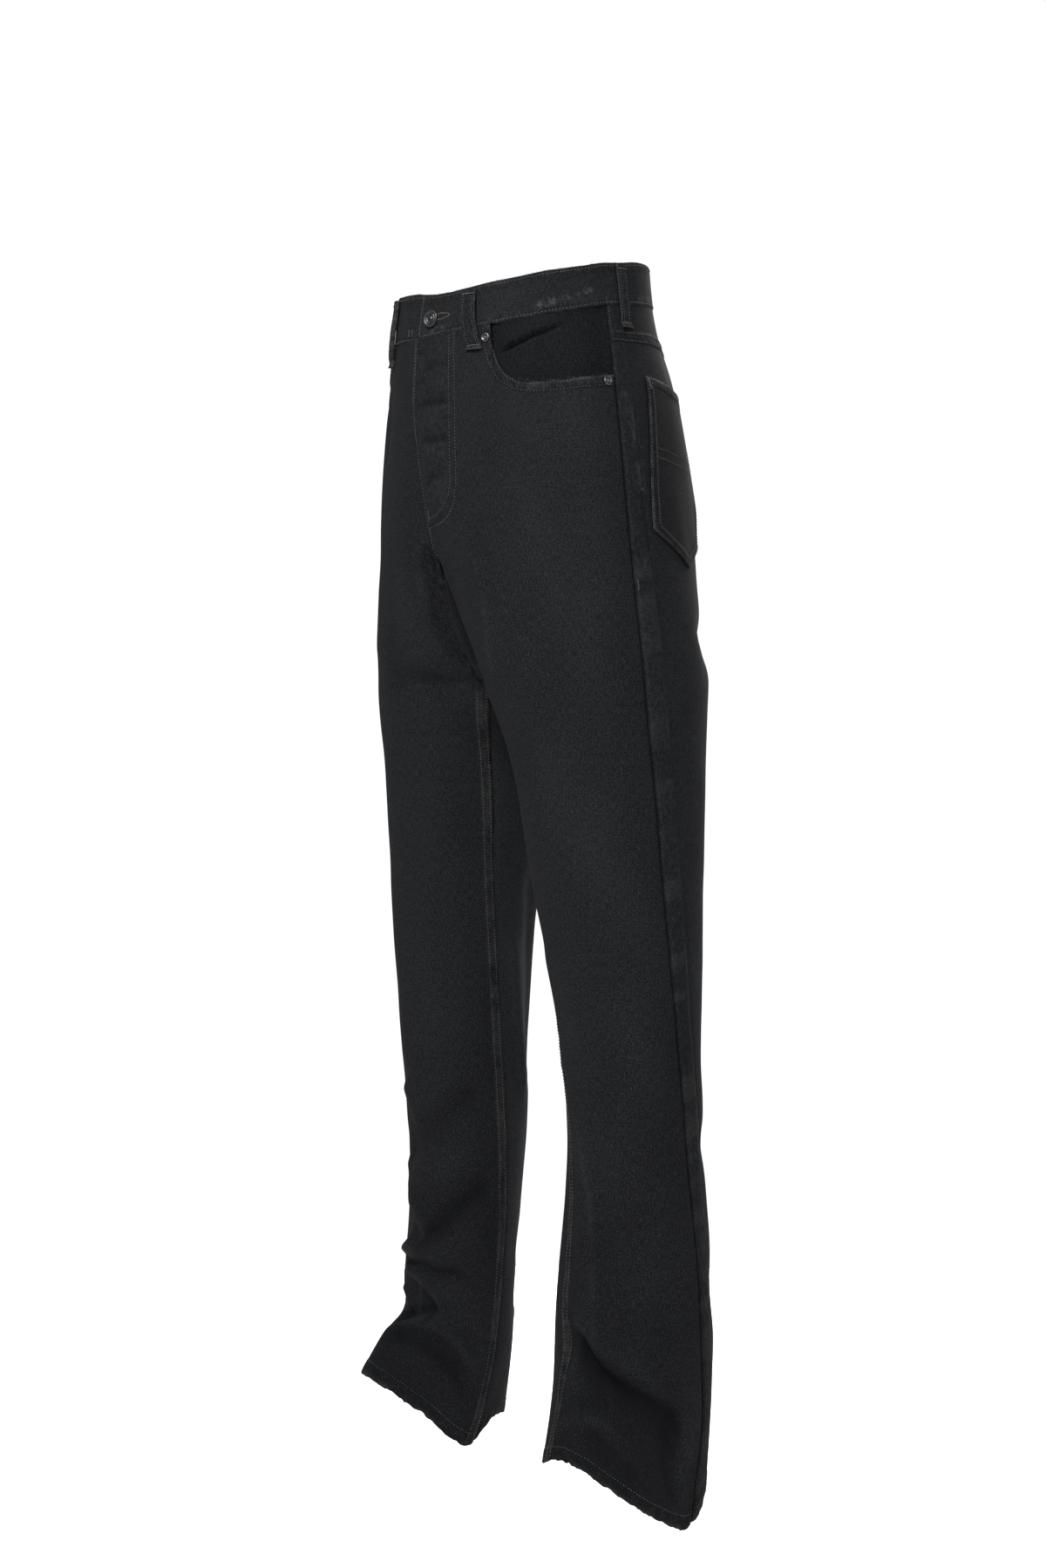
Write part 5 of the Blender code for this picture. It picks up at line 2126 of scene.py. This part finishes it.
@dataclass(frozen=True)
class Jeans:
    """All the cloth, and what is sewn on it."""

    finishes: Finishes
    cuts: tuple[LegCut, ...] = (LEFT_CUT, RIGHT_CUT)
    band_flat: Size = (0.905, 0.041)
    front_flat: Size = (0.285, 1.100)
    front_area: float = 0.262
    back_flat: Size = (0.330, 1.070)
    back_area: float = 0.280
    yoke_flat: Size = (0.205, 0.049)
    yoke_area: float = 0.0078
    facing_flat: Size = (0.145, 0.085)
    facing_area: float = 0.0100
    pocket_flat: Size = (0.130, 0.180)
    pocket_area: float = 0.0190
    placket_flat: Size = (0.046, 0.205)

    def build_cloth(self) -> None:
        """Cuts and hangs every piece of cloth."""
        denim, inside = self.finishes.denim, self.finishes.inside
        Waistband().build(denim)
        for cut in self.cuts:
            word = "_" + cut.side.word
            back, yoke = "denim_back" + word, "denim_yoke" + word
            kinds = (
                (FrontPanel, "front", "front", self.front_flat, self.front_area, BAND_PIECE),
                (BackPanel, "back", "back", self.back_flat, self.back_area, yoke),
                (Yoke, "yoke", "yoke", self.yoke_flat, self.yoke_area, BAND_PIECE),
                (Facing, "facing", "pocket_facing", self.facing_flat, self.facing_area, BAND_PIECE),
                (BackPocket, "back_pocket", "back_pocket", self.pocket_flat, self.pocket_area, back),
            )
            for kind, name, node, flat, area, below in kinds:
                slot, finish = (Slot.FACING, inside) if kind is Facing else (Slot.DENIM, denim)
                piece = kind(cut=cut).build("denim_" + name + word, node + word, slot, finish)
        piece = Placket(cut=LEFT_CUT).build("denim_button_placket", "button_placket", Slot.FACING, inside)

    def build_loops(self) -> None:
        """Makes the five belt loops with their rows and bar tacks."""
        sewing = Stitching(pitch=0.0027)
        loops = {
            "front_left": BeltLoop(0.1635, 0.0080, 0.0028, -0.0648, 0.0164),
            "front_right": BeltLoop(-0.150, 0.002, 0.0012, cloth=0.0042),
            "side_left": BeltLoop(0.553, 0.003),
            "side_right": BeltLoop(-0.553, -0.002),
            "back": BeltLoop(1.0, 0.001),
        }
        for word, loop in loops.items():
            loop.build("denim_loop_" + word, "belt_loop_" + word, self.finishes.denim)
            at = 0.5 - loop.row_at / loop.width
            runs = [run_of(loop.face, ((x, 0.05), (x, 0.97)), 0.00012) for x in (-at, at)]
            tacks = [bar_tack(loop.face, (-0.44, d), (0.44, d), 0.0016) for d in (0.060, 0.925)]
            sewing.build("stitching_loop_" + word, runs, self.finishes.thread, tacks)

    def build_stitching(self) -> None:
        """Sews the rows on the panels, pockets, yokes and waistband."""
        sewing, lift = Stitching(), 0.00014
        band = Waistband()
        end = 2 + band.lap / WAIST_PACE - 0.006
        runs = [run_of(band.face, ((0.010, z), (end, z)), lift, 4000) for z in band.rows_at]
        runs.append(run_of(band.face, ((0.0085, -0.004), (0.0085, -0.038)), lift))
        tacks = [bar_tack(band.face, (turn, -0.0300), (turn, -0.0355), 0.0016) for turn in (1.952, 1.964)]
        coarse = Stitching(pitch=0.0034, filled=0.58, thread=0.00048)
        coarse.build("stitching_waistband", runs, self.finishes.thread, tacks)
        for cut in self.cuts:
            self.sew_front(cut, sewing, lift)
            self.sew_back(cut, sewing, lift)

    def sew_front(self, cut: LegCut, sewing: Stitching, lift: float) -> None:
        """Sews the rows of one front panel.

        Args:
            cut: which half.
            sewing: the stitch.
            lift: metres above the cloth.
        """
        front = FrontPanel(cut=cut)
        down = np.linspace(CROTCH_LEVEL - 0.010, HEM_LEVEL + 0.002, 200)
        runs = []
        for edge in front.inseam_rows:
            line = tuple(((edge + front.inseam_drift(z)) / read(STRIDE, z), z) for z in down)
            runs.append(run_of(front.face, line, lift, 1500))
        runs.append(run_of(front.face, ((0.002, HEM_LEVEL + HEM_ROW), (0.498, HEM_LEVEL + HEM_ROW)), lift))
        sewing.build("stitching_leg_front_" + cut.side.word, runs, self.finishes.thread)
        mouth = ((MOUTH[0][0], PANEL_TOP - 0.001), *MOUTH[1:])
        runs = [run_of(front.face, offset(mouth, depth), lift) for depth in (0.0018, 0.0094)]
        tacks = [bar_tack(front.face, (0.488, -0.1100), (0.488, -0.1185), 0.0018)]
        sewing.build("stitching_front_pocket_" + cut.side.word, runs, self.finishes.thread, tacks)
        if cut.side is Side.LEFT:
            inner = ((0.108, -0.043), (0.109, -0.128), (0.107, -0.206), (0.101, -0.219), (0.088, -0.229),
                     (0.068, -0.235), (0.024, -0.239))
            outer = ((0.122, -0.043), (0.123, -0.128), (0.121, -0.208), (0.114, -0.225), (0.099, -0.237),
                     (0.078, -0.243), (0.018, -0.2475))
            edge = ((0.006, -0.043), (0.006, -0.150), (0.006, -0.225), (0.008, -0.244))
            down = np.linspace(-0.250, -0.306, 14)
            rise_rows = [tuple((x / SEWN_PACE, z) for z in down) for x in (0.0024, 0.0095)]
            runs = [run_of(front.face, line, lift) for line in (inner, outer, edge, *rise_rows)]
            tacks = [
                bar_tack(front.face, (0.028, -0.2300), (0.028, -0.2400), 0.0022),
                bar_tack(front.face, (0.016, -0.2450), (0.016, -0.2540), 0.0022),
            ]
            sewing.build("stitching_fly", runs, self.finishes.thread, tacks)

    def sew_back(self, cut: LegCut, sewing: Stitching, lift: float) -> None:
        """Sews the rows of one back panel, its yoke and its pocket.

        Args:
            cut: which half.
            sewing: the stitch.
            lift: metres above the cloth.
        """
        back, yoke, pocket = BackPanel(cut=cut), Yoke(cut=cut), BackPocket(cut=cut)
        across = np.linspace(0.5035, 0.9965, 60)
        yoke_rows = [tuple((s, read(YOKE, s) - depth) for s in across) for depth in (0.0018, 0.0088)]
        runs = [run_of(back.face, line, lift) for line in yoke_rows]
        runs.append(run_of(yoke.face, ((0.5055, -0.043), (0.5055, -0.069)), lift))
        runs.append(run_of(back.face, ((0.502, HEM_LEVEL + HEM_ROW), (0.998, HEM_LEVEL + HEM_ROW)), lift))
        if cut.side is Side.LEFT:
            for edge in (0.0026, 0.0098):
                s = 1 - edge / SEWN_PACE
                seat = tuple((s, z) for z in np.linspace(-0.094, -0.384, 60))
                runs.append(run_of(back.face, seat, lift, 900))
                runs.append(run_of(yoke.face, ((s, -0.043), (s, -0.091)), lift))
        tacks = [bar_tack(back.face, (0.5050, -0.3020), (0.5050, -0.3110), 0.0020)]
        sewing.build("stitching_back_" + cut.side.word, runs, self.finishes.thread, tacks)
        runs = [run_of(pocket.face, pocket.inset(depth), lift, 900) for depth in pocket.side_rows]
        for depth in pocket.hem_rows:
            row = tuple((s, z - depth) for s, z in self.pocket_level(pocket, 0.0))
            runs.append(run_of(pocket.face, row, lift))
        for down in pocket.level_rows:
            runs.append(run_of(pocket.face, self.pocket_level(pocket, down, 0.07), lift))
        tacks = []
        for (s, z), hand in zip(pocket.top, (1, -1)):
            upper, lower = (s + hand * 0.006, z - 0.002), (s + hand * 0.008, z - 0.012)
            tacks.append(bar_tack(pocket.face, upper, lower, 0.0022))
        sewing.build("stitching_back_pocket_" + cut.side.word, runs, self.finishes.thread, tacks)

    def pocket_level(self, pocket: BackPocket, down: float, margin: float = 0.02) -> Line:
        """A straight line across a back pocket at a share of its height.

        Args:
            pocket: which pocket.
            down: share of the height.
            margin: share of the width left at each end.

        Returns:
            The line's points.
        """
        s, z = pocket.place(np.linspace(margin, 1 - margin, 24), np.full(24, down))
        flat = np.linspace(z[0], z[-1], 24)
        return tuple(zip(s.tolist(), flat.tolist()))

    def build_frays(self) -> None:
        """Adds loose yarns: along the hems and at worn places."""
        rng = np.random.default_rng(7)
        fibres = Fibres()
        for cut in self.cuts:
            front, back = FrontPanel(cut=cut), BackPanel(cut=cut)
            paths = []
            for panel, low, high in ((front, 0.004, 0.496), (back, 0.504, 0.996)):
                s = np.sort(rng.uniform(low, high, 170))
                s = s[flecks(s * 30, 0.5, 111, 0.35, 1.0) > rng.uniform(0, 0.8, len(s))]
                roots = panel.face(s, np.full_like(s, HEM_LEVEL + 0.0006), -0.0008)
                for root in roots:
                    run = np.array([*rng.normal(0, 0.5, 2), -1.0])
                    paths.append(loose_yarn(root, run, rng.uniform(0.0012, 0.0042), 0.35, rng))
            long_roots = back.face(np.array([0.60, 0.615, 0.63, 0.82]), np.full(4, HEM_LEVEL + 0.001), 0.0)
            for root, length in zip(long_roots, (0.020, 0.026, 0.014, 0.012)):
                paths.append(loose_yarn(root, np.array([0.1, 0.2, -1.0]), length, 0.22, rng, 12))
            fibres.build("fray_hem_" + cut.side.word, paths, self.finishes.fibre)
        self.worn_yarns(rng)

    def worn_yarns(self, rng: np.random.Generator) -> None:
        """Adds the short pale yarns of rubbed places.

        Args:
            rng: the source of their chance.
        """
        band, front = Waistband(), FrontPanel(cut=LEFT_CUT)
        back, pocket = BackPanel(cut=LEFT_CUT), BackPocket(cut=LEFT_CUT)
        mouth_low = (
            (0.268, -0.1057), (0.300, -0.1098), (0.360, -0.1102), (0.410, -0.1092), (0.480, -0.1082),
        )
        places = (
            (band.face, ((0.325, -0.0315), (0.405, -0.0280), (0.455, -0.0262)), 0.0030, 90),
            (band.face, band.front_streak, 0.0022, 46),
            (band.face, ((0.020, -0.0006), (0.560, -0.0006)), 0.0006, 90),
            (front.face, mouth_low, 0.0030, 120),
            (back.face, back.rubbed_line, 0.0040, 70),
            (pocket.face, ((0.592, -0.1083), (0.720, -0.1172), (0.860, -0.1266)), 0.0020, 60),
        )
        paths = []
        for face, line, spread, count in places:
            points, normals = run_of(face, line, 0.0001, 400)
            for k in rng.integers(2, 398, count):
                along = unit(points[k + 1] - points[k - 1])
                across = np.cross(normals[k], along)
                root = points[k] + across * rng.normal(0, spread / 2)
                run = along * rng.normal(0, 1) + across * rng.normal(0, 0.6) + normals[k] * 0.12
                paths.append(loose_yarn(root, run, rng.uniform(0.0012, 0.0034), 0.30, rng))
        Fibres(radius=0.00013).build("rubbed_yarns", paths, self.finishes.thread)

    def build_buttonhole(self) -> None:
        """Sews the buttonhole's worn edge beside the button."""
        band = Waistband()
        start, level, length, height = 0.0580, -0.0225, 0.046, 0.0024
        turn = np.linspace(0, 2 * np.pi, 60)
        across = start + length / 2 * (1 + np.cos(turn))
        eye = tuple(zip(across, level + height * np.sin(turn) * (1.15 - 0.35 * np.cos(turn))))
        points, normals = run_of(band.face, eye, 0.0002, 200)
        pick = np.arange(0, 199, 2)
        along = points[pick + 1] - points[pick]
        side = unit(np.cross(normals[pick], along)) * 0.0009
        tacks = [(points[pick] - side, points[pick] + side, normals[pick])]
        Stitching(thread=0.00024).build("stitching_buttonhole", [], self.finishes.worn_edge, tacks)


@dataclass(frozen=True)
class Studio:
    """Pale floor, soft light, and the camera where the picture was taken from."""

    azimuth: float = 58.0
    distance: float = 2.55
    eye_level: float = -0.451
    focal_pixels: float = 2958.0
    picture_height: float = 1799.0
    horizon_row: float = 850.0
    floor_level: float = -1.500
    sky: float = 1.06
    fill: float = 0.20
    floor_reach: float = 2.6

    def camera(self) -> None:
        """Makes the camera."""
        a = np.radians(self.azimuth)
        data = bpy.data.cameras.new("camera")
        data.sensor_width = 36.0
        data.lens = 36.0 * self.focal_pixels / self.picture_height
        data.shift_y = (self.horizon_row - self.picture_height / 2) / self.picture_height
        camera = bpy.data.objects.new("camera", data)
        camera.location = (self.distance * np.sin(a), -self.distance * np.cos(a), self.eye_level)
        look = Vector((-np.sin(a), np.cos(a), 0.0))
        camera.rotation_euler = look.to_track_quat("-Z", "Y").to_euler()
        bpy.context.scene.collection.objects.link(camera)
        bpy.context.scene.camera = camera

    def light(self, name: str, place: tuple[float, ...], aim: tuple[float, ...], size: float,
              watts: float) -> None:
        """A square soft light.

        Args:
            name: the light's name.
            place: where it stands.
            aim: what it faces.
            size: its side in metres.
            watts: its power.
        """
        data = bpy.data.lights.new(name, "AREA")
        data.size = size
        data.energy = watts
        lamp = bpy.data.objects.new(name, data)
        lamp.visible_camera = False
        lamp.location = place
        lamp.rotation_euler = (Vector(aim) - lamp.location).to_track_quat("-Z", "Y").to_euler()
        bpy.context.scene.collection.objects.link(lamp)

    def build(self) -> None:
        """Sets the floor, the pale surroundings and the lights."""
        world = bpy.data.worlds.new("studio")
        world.use_nodes = True
        nodes, links = world.node_tree.nodes, world.node_tree.links
        nodes["Background"].inputs["Color"].default_value = (1, 1, 1, 1)
        ray, strength = nodes.new("ShaderNodeLightPath"), nodes.new("ShaderNodeMapRange")
        strength.inputs["To Min"].default_value = self.fill
        strength.inputs["To Max"].default_value = self.sky
        links.new(ray.outputs["Is Camera Ray"], strength.inputs["Value"])
        links.new(strength.outputs["Result"], nodes["Background"].inputs["Strength"])
        bpy.context.scene.world = world
        bpy.context.scene.view_settings.view_transform = "Standard"
        desk = NodeDesk("pale_floor")
        place = desk.add("ShaderNodeTexCoord").outputs["Object"]
        tone = desk.noise(place, (3, 3, 3))
        desk.shade(Base_Color=desk.mix(tone, (0.94, 0.94, 0.94, 1), (0.96, 0.96, 0.96, 1)), Roughness=0.9)
        turn = np.linspace(0, 2 * np.pi, 96, endpoint=False)
        ring = np.stack([np.cos(turn), np.sin(turn), np.zeros(96)], axis=1) * self.floor_reach
        ring[:, 2] = self.floor_level
        mesh_piece("floor", ring, [tuple(range(96))], desk.material)
        hips = (0.0, 0.0, -0.5)
        self.light("key_light", (1.23, -1.82, 1.70), hips, 1.4, 92.0)
        self.light("side_light", (3.00, 0.00, 1.20), hips, 1.4, 16.0)
        self.light("far_light", (-2.95, -0.52, 1.20), hips, 1.6, 8.0)
        self.light("back_light", (-1.10, 2.36, 1.70), hips, 2.4, 95.0)
        self.light("rear_light", (-2.20, 2.00, 1.10), hips, 2.0, 40.0)
        self.light("floor_light", (-1.60, 2.00, 0.30), (-1.60, 2.01, self.floor_level), 2.4, 75.0)
        self.camera()


def main() -> None:
    """Builds every sub-assembly in order."""
    logging.basicConfig(level=logging.INFO, format="%(message)s")
    Studio().build()
    finishes = make_finishes()
    jeans = Jeans(finishes)
    jeans.build_cloth()
    jeans.build_loops()
    jeans.build_stitching()
    jeans.build_buttonhole()
    jeans.build_frays()
    Hardware().build(jeans.cuts, finishes)


if __name__ == "__main__":
    main()
